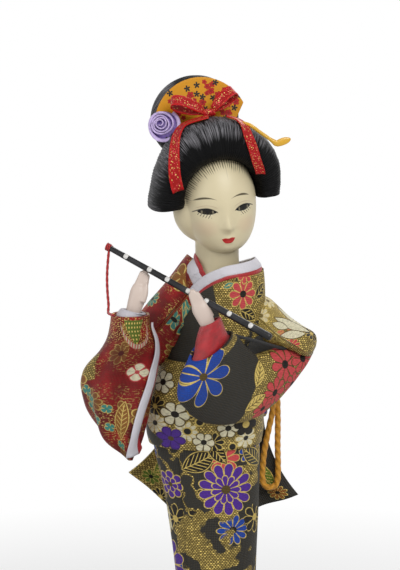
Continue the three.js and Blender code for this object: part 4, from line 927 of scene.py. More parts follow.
def red_ground(look):
    threads = weave(look, 0.5, 0.45)
    # Painted shade: broad patches of the red darkened, as the shade of folds.
    shade = look.noise(0.1, detail=3.0)
    look.colour = look.mix(shade.above(0.5, 0.3), tint("red", 0.35), "red")
    look.lay(threads.above(0.85, 0.3) * 0.2, "coral")
    look.lay(glitter(look) * look.noise(0.11, detail=3.0).above(0.5, 0.12), tint("gold", 1.1), 0.4)
    look.roughness = 0.42


def scatter(look, spacing, palette, radius=0.4, petals=8, share=0.75):
    """Flowers at scattered places, each in one of the palette's colours."""
    cell = look.node("TexVoronoi", {"Vector": look.flat, "Scale": 1 / spacing, "Randomness": 0.8}, "Position",
                     voronoi_dimensions="2D")
    chance = look.node("TexWhiteNoise", {"Vector": cell}, noise_dimensions="2D")
    step = share / len(palette)
    for i, name in enumerate(palette):
        where = chance.above(i * step, 0.001) * chance.below((i + 1) * step, 0.001)
        colours = (name, "gold", "black" if name != "black" else "gold")
        flower(look, cell, spacing * radius, petals + i % 3, colours, where=where)


def brocade(name, ground, motifs, spacing=16, palette=("coral", "cream", "purple", "black"), share=0.7):
    look = Look(name, 0.5, {"Specular IOR Level": 0.25})
    look.cloth_map()
    ground(look)
    if share:
        scatter(look, spacing, palette, share=share)
    motifs(look)
    shadow = look.streaks(look.u * 0.7, look.v * 2.2)
    look.lay(shadow.above(0.53, 0.2) * 0.3, tint("bronze", 0.5))
    return look.done()


def left_bodice_motifs(look):
    gold_cloud(look, 0.09, 0.4)
    lapel = (look.u + (look.v - 240) * 0.3).below(0.5, 0.6)
    look.lay(lapel, tint("charcoal", 0.7), 0.0)
    look.lay(stripe(look, (-26, 226), (-16, 246), 2.4) * look.u.wave(2.6).above(0.5, 0.2), "coral", 0.0)
    flower(look, (10.9, 250.4), 7.2, 8, ("coral", "gold", "black"))
    flower(look, (12, 259), 4.5, 7, ("coral", "gold", "black"))
    leaf(look, (21.5, 250.5), 5, 2.6, 0.6, "black")
    leaf(look, (14, 241), 4.8, 2.4, -0.5, "black")
    leaf(look, (3.5, 254.5), 2.4, 1.2, 0.4, "teal")


def left_arm_motifs(look):
    # Painted highlight: brighter gold on the raised threads of the sleeve's half near the shoulder.
    look.lay(look.v.below(28, 6) * look.height.above(0.35, 0.3) * 0.4, tint("gold", 1.15), 0.3)
    petals = (((-15.2, 24.5), 9, 1.9, 1.48), ((-19.6, 25.3), 8.2, 2.1, 1.24), ((-23.4, 21.5), 3.4, 1.4, 1.17),
              ((-23.1, 28.4), 5, 1.9, 0.85))
    for at, half_length, half_width, turn in petals:
        leaf(look, at, half_length, half_width, turn, "cream", "bronze")
        leaf(look, at, half_length * 0.9, half_width * 0.75, turn, "cream", "cream")
    leaf(look, (-28, 4), 4.5, 2.2, 0.9, "black")


def left_bag_motifs(look):
    near_elbow = (look.u + look.v * 0.3 + 2.0 * look.noise(0.15)).below(-28, 0.4)
    look.lay(near_elbow, gold_thread(look), 0.2)
    gold_band(look, (-9.5, -2.5), (14, -15), 1.9)
    flower(look, (11, -18), 14.5, 8, ("blue", "gold", "bronze"), 0.4, 0.12, 0.66)
    blooms = (((-39, -20), 8.5, 0.3), ((-33, -32), 7.5, 0), ((-50, -19), 7.5, 0.7), ((-28, -39), 6, 0.4),
              ((-45, -30), 6, 0.1))
    for at, size, turn in blooms:
        flower(look, at, size, 8, ("coral", "bronze", "black"), turn)
    leaf(look, (-23, -22), 6, 3.2, 1.9, tint("gold", 1.2), "bronze")
    leaf(look, (-22, -35), 6, 3, 2.6, tint("gold", 1.2), "bronze")
    gold_band(look, (-12, -46), (24, -38), 1.4)


def obi_motifs(look):
    cream = ("cream", "bronze", "black")
    for at, radius in (((-13.5, 196.5), 6), ((7.5, 190.5), 5), ((-2.6, 184), 5), ((-20, 210), 5.5)):
        flower(look, at, radius, 6, cream, 0.3, 0.26, 0.3)
    flower(look, (15.2, 191.3), 5.4, 6, ("black", "black", "gold"), 0.2, 0.3, 0.35)
    flower(look, (-15.5, 185), 5.6, 6, ("purple", tint("purple", 0.6), "bronze"), 0.5, 0.2, 0.4)
    for at in ((-6.9, 198), (-4.1, 193.5), (9.8, 181.5), (20, 200), (-9, 189)):
        dot(look, at, 2, "black", "gold")
    look.lay(stripe(look, (-34, 192), (-20, 181), 2.6), "charcoal", 0.0)


def tail_motifs(look):
    leaf(look, (-19, 32), 9, 3.6, 1.3, tint("green", 1.4), tint("gold", 1.2))
    leaf(look, (-25, 20), 6, 2.4, 0.6, "brown")


def skirt_motifs(look):
    gold_cloud(look, 0.05, 0.53)
    gold_band(look, (-25, 186), (-4, 150), 4.4, 0.2, 16)
    look.lay(stripe(look, (-25, 186), (-4, 150), 2.9, sway=16), tint("charcoal", 0.6), 0.0)
    blooms = (((6.7, 161.5), 12.6), ((-19, 162), 7), ((-30, 120), 17), ((22, 95), 18), ((-8, 52), 20),
              ((60, 130), 15))
    for at, size in blooms:
        colours = ("purple", "gold", "bronze")
        flower(look, at, size, 13 if size > 8 else 8, colours, 0.2, 0.1, 0.3)
        flower(look, at, size * 0.55, 11 if size > 8 else 6, colours, 0.5, 0.3, 0.3)
    leaf(look, (-5, 174.5), 8, 4.4, 0.5, "black")
    leaf(look, (3, 179), 7, 3, -0.9, "black")
    leaf(look, (20, 175), 7, 3.4, 2.4, "charcoal")


def right_bodice_motifs(look):
    leaf(look, (-21.3, 247), 5, 2, 1.3, "teal")
    leaf(look, (-19, 243), 3.6, 1.5, 0.2, "teal")
    flower(look, (-27, 252), 5, 5, ("brown", "gold", "brown"))


def right_arm_motifs(look):
    leaf(look, (-23.5, 19), 5, 2, 0.4, "teal")
    leaf(look, (-20, 23), 4, 1.8, 1.8, "teal")
    flower(look, (22, 10.5), 6.4, 5, ("brown", "gold", "brown"))
    flower(look, (-14, 14), 4, 5, ("coral", "gold", "cream"))


def right_bag_motifs(look):
    brown = ("brown", "gold", "brown")
    # Painted shade of deep folds, in long streaks down the lower part of the bag.
    shaded_folds = look.streaks(look.u * 0.13, look.v * 0.03)
    look.lay(shaded_folds.above(0.5, 0.3) * look.v.below(232, 10) * 0.7, tint("red", 0.25), 0.0)
    gold_band(look, (-17, 224), (-13, 212), 3)
    leaf(look, (1.5, 194), 9, 2.8, 1.38, "brown")
    for at, size in (((-20, 212), 6), ((10, 196), 5), ((-30, 200), 6)):
        flower(look, at, size, 5, brown)
    scrolls = (((-14, 207), 3), ((-11.5, 203.5), 3), ((-13.5, 199), 3.4), ((-10.5, 194.5), 2.8),
               ((-4, 200), 2.4), ((-4.6, 191), 2.4), ((-2, 182), 2.6))
    for at, size in scrolls:
        flower(look, at, size, 4, ("teal", "gold", "teal"), at[1], 0.3, 0.25)
    flower(look, (6.5, 217), 4.6, 4, ("cream", "coral", "coral"), 0.4, 0.2, 0.3)
    look.lay(glitter(look) * look.v.above(231, 6), tint("gold", 1.3), 0.4)
    patch = abs(look.u - 3).below((look.v - 230) * 0.5, 0.5) * look.v.below(242.6, 0.3)
    look.lay(patch, "green", 0.0)
    beads = look.u.wave(1.7).above(0.6, 0.3) * look.v.wave(1.9).above(0.6, 0.3)
    look.lay(patch * beads, tint("gold", 1.4), 0.4)
    braid = abs(look.v - 230 - 0.12 * (look.u - 4) ** 2.0).below(1.1, 0.4) * abs(look.u - 4).below(9, 2)
    look.lay(braid, tint("cream", 0.8), 0.0)
    look.lay(braid * look.u.wave(1.3).above(0.6, 0.3), "coral", 0.0)


def plain_cloth(name, colour_name, roughness):
    """Fine plain cloth, with the painted shade of a soft crease here and there."""
    look = Look(name, roughness, {"Sheen Weight": 0.1})
    look.cloth_map()
    threads = weave(look, 0.45, 0.4)
    crease = look.noise(0.12, detail=2.0)
    # Painted shade: the cloth is darker where a soft crease would lie.
    look.colour = look.mix(crease.above(0.5, 0.8), tint(colour_name, 0.8), colour_name)
    look.lay(threads * 0.1, tint(colour_name, 0.6))
    return look.done(0.00008)


def hair_look(name, strand_of, shine_of):
    """Combed black hair: strand_of gives places across and along it, shine_of where painted highlights show
    as grey strands.
    """
    look = Look(name, 0.4, {"Specular IOR Level": 0.12})
    x, y, z = look.head_map()
    strand, along = strand_of(x, y, z)
    fine = look.streaks(strand * 2.8, along * 0.16, 3.0, 0.7)
    coarse = look.streaks(strand * 0.9, along * 0.09)
    look.height = fine + coarse * 0.7
    look.colour = "hair"
    # Painted highlight: grey strands laid over the black in a band where the hair would shine.
    shine = (shine_of(x, y, z) + 1.6 * coarse).above(1.4, 0.5)
    look.lay(fine.above(0.52, 0.2) * shine, tint("white", 0.3))
    look.roughness = 0.3 + 0.3 * fine
    return look.done(0.0005)


def ribbon_look():
    """Red ribbon with gold glitter and two raised edges, which carry a painted highlight."""
    look = Look("glitter ribbon", 0.45, {"Specular IOR Level": 0.25})
    u, _ = look.cloth_map()
    edge = abs(u).above(1.75, 0.4)
    # Painted highlight on the raised edges and painted shade between them: lighter and darker copies of the
    # red.
    look.colour = look.mix(edge, tint("ribbon", 0.85), tint("ribbon", 1.2))
    grain = look.noise(1.6, detail=2.0)
    look.lay(grain.above(0.5, 0.3) * 0.4, tint("ribbon", 0.5))
    cell = look.node("TexVoronoi", {"Vector": look.flat, "Scale": 2.6}, "Color", voronoi_dimensions="2D")
    chance, other, _ = look.split(cell)
    speck = chance.above(0.85, 0.02) * (1 - edge * 0.7)
    look.lay(speck, look.mix(other.above(0.4, 0.1), tint("gold", 1.3), tint("coral", 1.3)), 0.4)
    look.height = edge * 0.8 + chance * 0.35
    return look.done(0.00025)


def satin_look(name, colour_name, deep=0.0):
    """Soft satin with painted shade and painted highlight along its folds, and painted shade towards the
    inner edge of a rolled ribbon, up to a depth across it.
    """
    look = Look(name, 0.36, {"Sheen Weight": 0.15})
    u, v = look.cloth_map()
    shaded_folds = look.noise(0.35, look.vector(u * 0.5, v * 2.0), 2.0)
    # Painted shade and painted highlight: darker and lighter copies of the colour along the folds.
    look.colour = look.mix(shaded_folds.above(0.5, 0.5), tint(colour_name, 0.6), tint(colour_name, 1.15))
    # Painted shade in the gaps between the turns of a rolled ribbon.
    if deep:
        look.lay(u.below(deep, 1.6) * 0.7, "purple")
    look.height = shaded_folds + u.wave(0.3) * 0.1
    return look.done(0.0003)


def skin_look():
    """Ivory skin with the face painted on: brows, lids, lashes, lips, blush and the hair's first strands,
    with a painted shadow under the chin and a painted highlight under each eye.
    """
    look = Look("ivory skin", 0.46, {"Coat Weight": 0.08, "Coat Roughness": 0.35})
    x, y, z = look.head_map()
    front = y.below(-3, 2)
    side = x - FACE_MIDDLE
    reach = abs(side)
    cloud = look.noise(0.12, detail=2.0)
    look.colour = look.mix(cloud.above(0.5, 0.8), tint("skin", 0.95), "skin")
    cheek = (reach - 9) ** 2.0 / 30 + (z + 9) ** 2.0 / 20
    look.lay(cheek.below(0.55, 1.1) * front * 0.2, "blush")
    # Painted shadow on the front of the neck, under the chin.
    look.lay(z.below(-20, 6) * (z + 0.4 * x).above(-36, 10) * y.below(2, 8) * 0.5, tint("skin", 0.6))
    # Brows
    along = reach + 1.2 * side.above(0, 0.1)
    across = (along - 8.3) / 4.6
    arch = 4.75 - 0.055 * (along - 8.0) ** 2.0
    brow = abs(z - arch).below(0.55 * (1 - across ** 2.0) * (0.75 + 0.45 * across), 0.2)
    look.lay(brow * abs(across).below(1, 0.1) * front, "brow")
    # Lids: the line above each eye runs out past its corner, with a crease over it
    lid = (reach - EYE_OFFSET) / 4.0
    upper = EYE_HEIGHT + 1.3 - 1.15 * lid ** 2.0 + 0.35 * lid
    line = abs(z - upper).below(0.46 - 0.2 * abs(lid), 0.22) * abs(lid - 0.16).below(1.2, 0.1)
    look.lay(line * front, "black")
    crease = EYE_HEIGHT + 2.9 - 1.2 * lid ** 2.0
    look.lay(abs(z - crease).below(0.12, 0.3) * abs(lid).below(1.0, 0.3) * front * 0.45, tint("blush", 0.6))
    # A cream line under each eye: a painted highlight along the lower lid.
    lower = EYE_HEIGHT - 1.1 + 1.0 * lid ** 2.0
    look.lay(abs(z - lower + 0.2).below(0.16, 0.25) * abs(lid).below(0.85, 0.2) * front * 0.9, "cream")
    lash = (reach + 0.65 * (z - EYE_HEIGHT)).wave(1.2).above(0.87, 0.15)
    drop = lower - z
    lash = lash * drop.above(0.15, 0.2) * drop.below(1.7 - 0.5 * lid, 0.4)
    look.lay(lash * abs(lid - 0.3).below(0.66, 0.1) * front, "black")
    # Lips
    bow = -13.75 - 0.3 * side.wave(3.0) + 0.02 * side
    cup = -16.45 + 0.08 * side ** 2.0 + 0.022 * side ** 4.0
    mouth = z.below(bow, 0.25) * z.above(cup, 0.25) * reach.below(3.15, 0.3) * front
    look.lay(mouth, "lips")
    look.lay(mouth * abs(z + 14.8 + 0.03 * side).below(0.08, 0.3) * 0.6, tint("lips", 0.3))
    # First strands at the hairline, and a parting
    ring = (x * x / (15.3 * 15.3) + z * z / (18.7 * 18.7)).math("SQRT")
    turn = x.math("ARCTAN2", z)
    wander = look.streaks(turn * 9.0, ring * 2.0)
    ragged = look.streaks(turn * 34.0, 0.0)
    stroke = (turn + 0.06 * wander).wave(0.06).above(0.78, 0.32)
    near = ring.above(1.01 - 0.23 * ragged.above(0.5, 0.5) + 0.08 * z.below(9, 8), 0.07)
    look.lay(stroke * near * (z - 0.45 * x).above(8.8, 4) * front * 0.9, tint("brow", 0.35))
    part = abs(x - 1.5).below(0.07, 0.2) * z.above(12.5, 3)
    look.lay(part * 0.4 * front, "brow")
    look.height = look.noise(0.9, detail=3.0)
    return look.done(0.00004)


def hand_look():
    look = Look("pale hand", 0.45, {"Coat Weight": 0.08})
    look.object_map()
    cloud = look.noise(120, detail=2.0)
    look.colour = look.mix(cloud.above(0.5, 0.8), tint("hand", 0.92), "hand")
    look.height = look.noise(900, detail=2.0)
    return look.done(0.00005)


def eye_look():
    """A dark glass eye with a brown ring."""
    look = Look("glass eye", 0.2, {"Specular IOR Level": 0.25})
    x, _, z = look.head_map()
    reach = abs(x - FACE_MIDDLE) - EYE_OFFSET
    ring = (reach * reach + (z - EYE_HEIGHT) ** 2.0).math("SQRT")
    iris = ring.below(1.7, 0.8) * z.below(EYE_HEIGHT + 0.5, 1.0)
    look.colour = look.mix(iris, tint("black", 0.7), tint("brow", 0.22))
    look.lay(ring.below(0.7, 0.4), tint("black", 0.5))
    rim = abs(abs(reach) - 2.15).below(0.3, 0.35) * abs(z - EYE_HEIGHT).below(0.7, 0.5)
    look.lay(rim * 0.45, tint("skin", 0.7))
    return look.done()


def comb_look():
    """Amber comb with blossom on dark twigs."""
    look = Look("amber comb", 0.5, {"Specular IOR Level": 0.25})
    look.cloth_map()
    look.colour = look.mix(look.noise(0.09, detail=2.0), tint("amber", 0.8), "amber")
    red = ("lips", tint("lips", 0.35), tint("lips", 0.5))
    dark = ("black", "black", "black")
    sprigs = ((-13, 17), (-11, 14.5), (-3.5, 18.5), (-2, 16), (-0.5, 13.5), (1.5, 14.6), (3.6, 23.5),
              (4.6, 21.4), (6, 19.2), (4, 18.4), (7, 22), (9, 17), (12, 19), (14, 16), (16.5, 13), (13, 12),
              (10, 9), (12.5, 8.5), (-8, 9), (-12, 10.5), (-10, 11.5))
    for i, at in enumerate(sprigs):
        flower(look, at, 1.15 + 0.3 * (i % 3), 5, red, 0.6 * i, 0.3, 0.4)
    twigs = ((-12.5, 20.5), (-4.5, 21.5), (0, 22.5), (-0.6, 18.6), (1.8, 17), (8.6, 22.6), (6.4, 16),
             (-3.5, 14), (17.6, 15.5), (15.2, 18), (10.4, 13.6), (11, 6.5), (15.5, 10.4), (-6.5, 15),
             (2.4, 11.6))
    for i, at in enumerate(twigs):
        flower(look, at, 1.5, 5, dark, 1.6 + 0.4 * i, 0.2, 0.9)
    return look.done()


def lacquer_look(name, worn=0.08):
    look = Look(name, 0.2, {"Specular IOR Level": 0.35})
    look.object_map()
    dust = look.noise(90, detail=4.0, roughness=0.7)
    look.colour = look.mix(dust.above(0.62, 0.3) * worn, "lacquer", tint("white", 0.6))
    look.roughness = 0.18 + 0.25 * dust
    look.height = look.noise(500, detail=2.0)
    return look.done(0.00003)


def inner_look(name, code, grain, roughness, metal=0.0, depth=0.0003):
    """A grained finish for the pieces inside: foam, felt, steel and wood."""
    look = Look(name, roughness)
    look.object_map()
    mottle = look.noise(grain, detail=4.0, roughness=0.7)
    colour_ = paint(code)
    look.colour = look.mix(mottle, (*(0.7 * c for c in colour_), 1), (*colour_, 1))
    look.metal = metal
    look.height = mottle
    return look.done(depth)


def twisted_look(name, colour_name, pitch, shade=0.4):
    """A laid cord: turning plies with short fibres, painted shade in the grooves between the plies and
    painted highlights on the fibres.
    """
    look = Look(name, 0.6, {"Sheen Weight": 0.2})
    u, v = look.cloth_map()
    ply = (u * (4 * pi) + v * (TURN / pitch)).math("COSINE") * 0.5 + 0.5
    fibre = look.noise(3.0, look.vector(u * 6, v * 2), 2.0)
    # Painted shade in the grooves between the plies, down to the given shade.
    look.colour = look.mix(ply, tint(colour_name, shade), colour_name)
    # Painted highlights: short fibres lighter than the cord.
    look.lay(fibre.above(0.6, 0.2) * 0.4, tint(colour_name, 1.5))
    look.height = ply + fibre * 0.3
    return look.done(0.0002)


# Operators

class Piecework:
    """What the doll's operators share."""

    bl_options = {"REGISTER", "UNDO"}

    def execute(self, context):
        self.make(context)
        return {"FINISHED"}


def hang_lamp(name, at, size, power):
    light = bpy.data.lights.new(name, "AREA")
    light.size, light.energy = size, power
    lamp = add_object(name, light)
    lamp.location = at
    lamp.rotation_euler = (Vector((0, 0, 0.26)) - Vector(at)).to_track_quat("-Z", "Y").to_euler()


def white_background(scene):
    """White to the camera and in reflections, and a softer light on the doll."""
    world = bpy.data.worlds.new("white room")
    scene.world = world
    world.use_nodes = True
    board = Board()
    board.tree = world.node_tree
    board.tree.nodes.clear()
    soft, white = (board.node("Background", {"Color": (1, 1, 1, 1), "Strength": strength})
                   for strength in (0.38, 1.0))
    both = board.node("MixShader", {0: board.seen(), 1: soft, 2: white})
    out = board.tree.nodes.new("ShaderNodeOutputWorld")
    board.feed(out.inputs["Surface"], both)


def pale_floor():
    """A pale disc that keeps the shadow near the doll and fades to white further out."""
    mesh = bmesh.new()
    bmesh.ops.create_circle(mesh, cap_ends=True, segments=96, radius=3)
    floor = add_object("floor", mesh_data(mesh, "floor"))
    look = Look("floor", 0.9)
    x, y, _ = look.object_map()
    far = (x * x + y * y).math("SQRT").above(0.36, 0.36)
    look.colour = (0.86, 0.86, 0.86, 1)
    look.done()
    glow = look.node("Emission", {"Color": (1, 1, 1, 1), "Strength": 1.0})
    plain = Tone(look, look.shader.outputs[0])
    both = look.node("MixShader", {0: far * look.seen(), 1: plain, 2: glow})
    look.feed(look.tree.nodes["Material Output"].inputs["Surface"], both)
    floor.data.materials.append(look.material)


class DOLL_OT_stage(Piecework, bpy.types.Operator):
    """Set the camera, the lamps, the pale floor and the white background"""

    bl_idname = "doll.stage"
    bl_label = "Stage"

    def make(self, context):
        scene = context.scene
        scene.view_settings.view_transform = "Standard"
        distance = sizes().camera_distance
        lens = bpy.data.cameras.new("camera")
        lens.sensor_width = 36
        lens.lens = lens.sensor_width * distance / PICTURE_HEIGHT
        camera = add_object("camera", lens)
        camera.location = PICTURE_MIDDLE + distance * Vector((0, -cos(CAMERA_TILT), sin(CAMERA_TILT)))
        camera.rotation_euler = (pi / 2 - CAMERA_TILT, 0, 0)
        scene.camera = camera
        hang_lamp("key", (0.35, -0.8, 0.95), 0.5, 6.4)
        hang_lamp("fill", (-0.8, -0.7, 0.55), 0.7, 2.2)
        hang_lamp("rim", (0.3, 0.8, 0.9), 0.5, 2.6)
        white_background(scene)
        pale_floor()


def round_cuff(angle, rise):
    reach, turn = CUFF_RADIUS + 2.2, radians(angle)
    return RIGHT_WRIST + Vector((reach * cos(turn), reach * sin(turn), rise))


def lay_cord(name, body, route, diameter, colour_name, slot, node, rows, pile=0.0):
    """A cord of two turning plies along a route, with a pile that makes it thicker."""
    path = spread(route, rows)
    total, thick = run_length(path), diameter / MM
    pitch = 2.2 * thick

    def radius(along, angle):
        ply = abs(cos(angle + pi * along * total / pitch))
        return thick * (0.4 + 0.12 * ply + pile)

    # A thicker pile also softens the painted shade between the plies.
    look = twisted_look(name, colour_name, pitch, 0.4 + pile)
    cord = add_piece(swept(path, 16, radius, total), name, body, look, slot, node)
    line = [place(p) for p in path]
    return cord


class DOLL_OT_cords(Piecework, bpy.types.Operator):
    """Hang the red cord of the flute and the gold cord of the obi"""

    bl_idname = "doll.cords"
    bl_label = "Cords"

    def make(self, context):
        top = flute_at(KNOT_REACH) - Vector((0, 0, 1.9))
        low = round_cuff(172, 3.4)
        hanging = [top.lerp(low, t) + Vector((-0.7, 0.2, 0)) * sin(pi * t) for t in (i / 5 for i in range(6))]
        at_cuff = ((174.2, 1.9), (180.1, 0.8), (188.2, 0.4), (200, 0.4), (212, 0.4), (222, 0.4))
        route = hanging + [round_cuff(*spot) for spot in at_cuff]
        red = lay_cord("flute_cord_red", None, route, sizes().flute_cord, "ribbon", "red_cord", "flute_cord",
                       90)
        place(top)
        place(low)
        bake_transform(red)
        middle, side, high = BOW_MIDDLE.y, BOW_SIZE.x / 2, BOW_MIDDLE.z - 6
        drop = high - 47
        loop = [
            (side + 0.3, middle + 1, high), (side + 2.2, middle + 1, high),
            (side + 4.4, middle - 1, high - 4),
            (side + 4.9, middle - 3.4, high - 12), (side + 4.9, middle - 5, high - 26),
            (side + 4.9, middle - 6, drop + 3.5), (side + 3.9, middle - 6.3, drop + 1),
            (side + 1.4, middle - 6.6, drop), (side - 1.1, middle - 6.9, drop + 1),
            (side - 2.1, middle - 7, drop + 3.5), (side - 1.6, middle - 6.4, high - 31),
            (side + 0.6, middle - 5.4, high - 19), (side + 2.4, middle - 4.4, high - 10),
            (side + 2.2, middle - 4, high - 3.6), (side + 0.3, middle - 4, high - 3.6),
        ]
        lay_cord("obi_cord_gold", "doll", [Vector(p) for p in loop], sizes().obi_cord, "cord", "gold_cord",
                 "obi_cord", 200, 0.3)


def spread(points, count):
    """Evenly spaced points along the centripetal curve through the points."""
    ends = [points[0] * 2 - points[1], *points, points[-1] * 2 - points[-2]]
    fine = []
    for a, b, c, d in zip(ends, ends[1:], ends[2:], ends[3:]):
        t1 = sqrt((b - a).length)
        t2 = t1 + sqrt((c - b).length)
        t3 = t2 + sqrt((d - c).length)
        for k in range(24):
            t = lerp(t1, t2, k / 24)
            ab, bc, cd = a.lerp(b, t / t1), b.lerp(c, (t - t1) / (t2 - t1)), c.lerp(d, (t - t2) / (t3 - t2))
            fine.append(ab.lerp(bc, t / t2).lerp(bc.lerp(cd, (t - t1) / (t3 - t1)), (t - t1) / (t2 - t1)))
    fine.append(points[-1].copy())
    runs = [0.0]
    for a, b in zip(fine, fine[1:]):
        runs.append(runs[-1] + (b - a).length)
    even, k = [], 0
    for i in range(count + 1):
        goal = runs[-1] * i / count
        while k < len(fine) - 2 and runs[k + 1] < goal:
            k += 1
        span = runs[k + 1] - runs[k]
        even.append(fine[k].lerp(fine[k + 1], min((goal - runs[k]) / span, 1) if span else 0))
    return even


def carried_frames(path):
    """Two directions across each point of a path, carried along it without turning."""
    frames = []
    over = Vector((0.3, 0.9, 0.2))
    for i, _ in enumerate(path):
        tangent = (path[min(i + 1, len(path) - 1)] - path[max(i - 1, 0)]).normalized()
        over = (over - tangent * over.dot(tangent)).normalized()
        frames.append((over.copy(), tangent.cross(over)))
    return frames


def arm_padding(side, shoulder, elbow, look):
    """Soft wadding wound round an upper arm, coloured dark as painted shade where it shows below the sleeve.
    """
    points = [shoulder.lerp(elbow, t) for t in (0.35, 0.6, 0.85, 1.0)]

    def radius(along, angle):
        swell = 3.6 + 0.5 * sin(9 * along + angle) * sin(pi * along)
        return swell, swell

    mesh = tube(points, radius, 20, 24)
    pad = add_piece(mesh, f"arm_padding_{side}", "doll", look, "foam", f"arm_wadding_{side}")


class DOLL_OT_stand(Piecework, bpy.types.Operator):
    """Round the lacquered board and finish the rod, the formers and the other inner pieces"""

    bl_idname = "doll.stand"
    bl_label = "Stand and inner pieces"

    def make(self, context):
        low, high = (Vector(corner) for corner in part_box("stand_base"))
        mesh = bmesh.new()
        bmesh.ops.create_cube(mesh, size=1)
        bmesh.ops.scale(mesh, vec=high - low, verts=mesh.verts)
        bmesh.ops.translate(mesh, vec=(high + low) / 2, verts=mesh.verts)
        upright = [e for e in mesh.edges if abs(e.verts[0].co.z - e.verts[1].co.z) > 0.001]
        round_edges(mesh, upright, BOARD_CORNER, 14)
        rims = [e for e in mesh.edges if abs(e.verts[0].co.z - e.verts[1].co.z) < 1e-6]
        round_edges(mesh, rims, sizes().board_bevel, 4)
        board = add_piece(mesh, "stand_board", "doll", lacquer_look("black lacquer"), "lacquer", "stand_base")
        board.data.set_sharp_from_angle(angle=radians(50))
        foam = inner_look("pale foam", 0xD8D2C4, 900, 0.9)
        steel = inner_look("drawn steel", 0xA9ABAE, 700, 0.3, 1.0, 0.0001)
        # Dark wire for the arms, with the wadding as dark: painted shade where they show in the gap under the
        # left sleeve.
        dark = inner_look("blackened wire", 0x1A1A1C, 800, 0.7)
        finishes = {
            "base_felt": inner_look("black felt", 0x26262A, 1800, 0.95),
            "rod_washer": steel, "rod_nut": steel, "support_rod": steel,
            "arm_wire_right": dark, "arm_wire_left": dark,
            "lower_former": foam, "torso_former": foam,
            "neck_plug": inner_look("turned wood", 0xB08A5A, 260, 0.6),
        }
        for node, finish in finishes.items():
            data = bpy.data.objects[node].data
            data.materials.clear()
            data.materials.append(finish)
        arm_padding("right", RIGHT_SHOULDER, RIGHT_ELBOW, dark)
        arm_padding("left", LEFT_SHOULDER, LEFT_ELBOW, dark)


def skirt_panel(name, node, look, start, end, columns, lift, wraps):
    thickness = sizes().cloth

    def level(along):
        return lerp(0.3, OBI_LOW + 9, along ** 1.15)

    def spot(across, along):
        height = level(along)
        return place(skirt_surface(lerp(start, end, across), height, lift + thickness / MM))

    def picture(across, along):
        height = level(along)
        _, _, wide, deep = body_at(height)
        flare = 1 - smooth(height, 0, 135)
        return radians(lerp(start, end, across) + 90) * ((wide + deep) / 2 + 14 * flare * flare), height

    mesh = bent_sheet(columns, 72, spot, picture, wraps)
    cloth = add_piece(mesh, name, "doll", look, "dark_brocade", node, wall=thickness)
    declare_cloth(cloth, spot, "gathered", ["obi"])


class DOLL_OT_skirt(Piecework, bpy.types.Operator):
    """Hang the gathered skirt and the panel lapped over its front"""

    bl_idname = "doll.skirt"
    bl_label = "Skirt"

    def make(self, context):
        palette = ("coral", "cream", "blue", "black")
        look = brocade("skirt brocade", dark_ground, skirt_motifs, 19, palette, 0.6)
        skirt_panel("skirt_cloth", "skirt", look, -270, 90, 264, SKIRT_LIFT, True)
        skirt_panel("skirt_lap", "skirt_overlap", look, -131, 16.4, 120, OVERLAP_LIFT, False)


def bodice_panel(node, look, slot, start, end, lift):
    thickness = sizes().cloth

    def flat(across, along):
        height = lerp(BODICE_LOW, BODICE_HIGH, along)
        return lerp(start(height), end(height), across), height

    def spot(across, along):
        return place(body_surface(*flat(across, along), lift + thickness / MM))

    def picture(across, along):
        angle, height = flat(across, along)
        return CLOTH_RADIUS * radians(angle + 90), height

    mesh = bent_sheet(56, 40, spot, picture)
    cloth = add_piece(mesh, f"{node}_cloth", "doll", look, slot, node, wall=thickness)
    declare_cloth(cloth, spot, "stretched", ["torso_former"])


class DOLL_OT_bodice(Piecework, bpy.types.Operator):
    """Wrap the bodice, its left side over its right"""

    bl_idname = "doll.bodice"
    bl_label = "Bodice"

    def make(self, context):
        red = brocade("red brocade", red_ground, right_bodice_motifs, 12, ("brown", "coral", "teal"), 0.5)
        gold = brocade("left brocade", dark_ground, left_bodice_motifs, 12, ("cream", "black"), 0.3)
        bodice_panel("bodice_back", red, "red_brocade", lambda z: 1, lambda z: 179, RIGHT_BODICE_LIFT)
        bodice_panel("bodice_right", red, "red_brocade", lambda z: -179,
                     lambda z: right_neckline(z)[0] - 360, RIGHT_BODICE_LIFT)
        bodice_panel("bodice_left", gold, "dark_brocade", lambda z: left_neckline(z)[0],
                     lambda z: 12, LEFT_BODICE_LIFT)


def collar_path(neckline, low, start, end):
    heights = [lerp(low, BODICE_HIGH, i / 8) for i in range(9)]
    spots = [(neckline(z)[0], z) for z in heights]
    spots += [(lerp(start, end, i / 4), BODICE_HIGH + 0.4 - 1.9 * i) for i in range(1, 5)]
    last = len(spots) - 1
    return track([(i / last, *spot) for i, spot in enumerate(spots)])


def collar_band(name, node, finish, course, right, left, sewn_on=None):
    """A strip beside a course, which is a path and a lift off the body. Its finish is a look and a slot, and
    the slot is not used.
    """
    path, lift = course
    thickness = sizes().collar_cloth

    def spot(across, along):
        rounded = 0.25 * (1 - (2 * across - 1) ** 4)
        offset = lerp(right, left, across)
        lean = 3.4 * smooth(along, 0.5, 0.8) * smooth(abs(offset), 1, 5.5)
        return place(beside(body_surface, path, along, offset, lift + thickness / MM * 0.75 + rounded - lean))

    def picture(across, along):
        return lerp(right, left, across), 70 * along

    cloth = add_piece(bent_sheet(10, 96, spot, picture), name, "doll", *finish, node, wall=thickness)
    if sewn_on:
        declare_cloth(cloth, spot, "stretched", ["torso_former"], sewn_on)
    return cloth


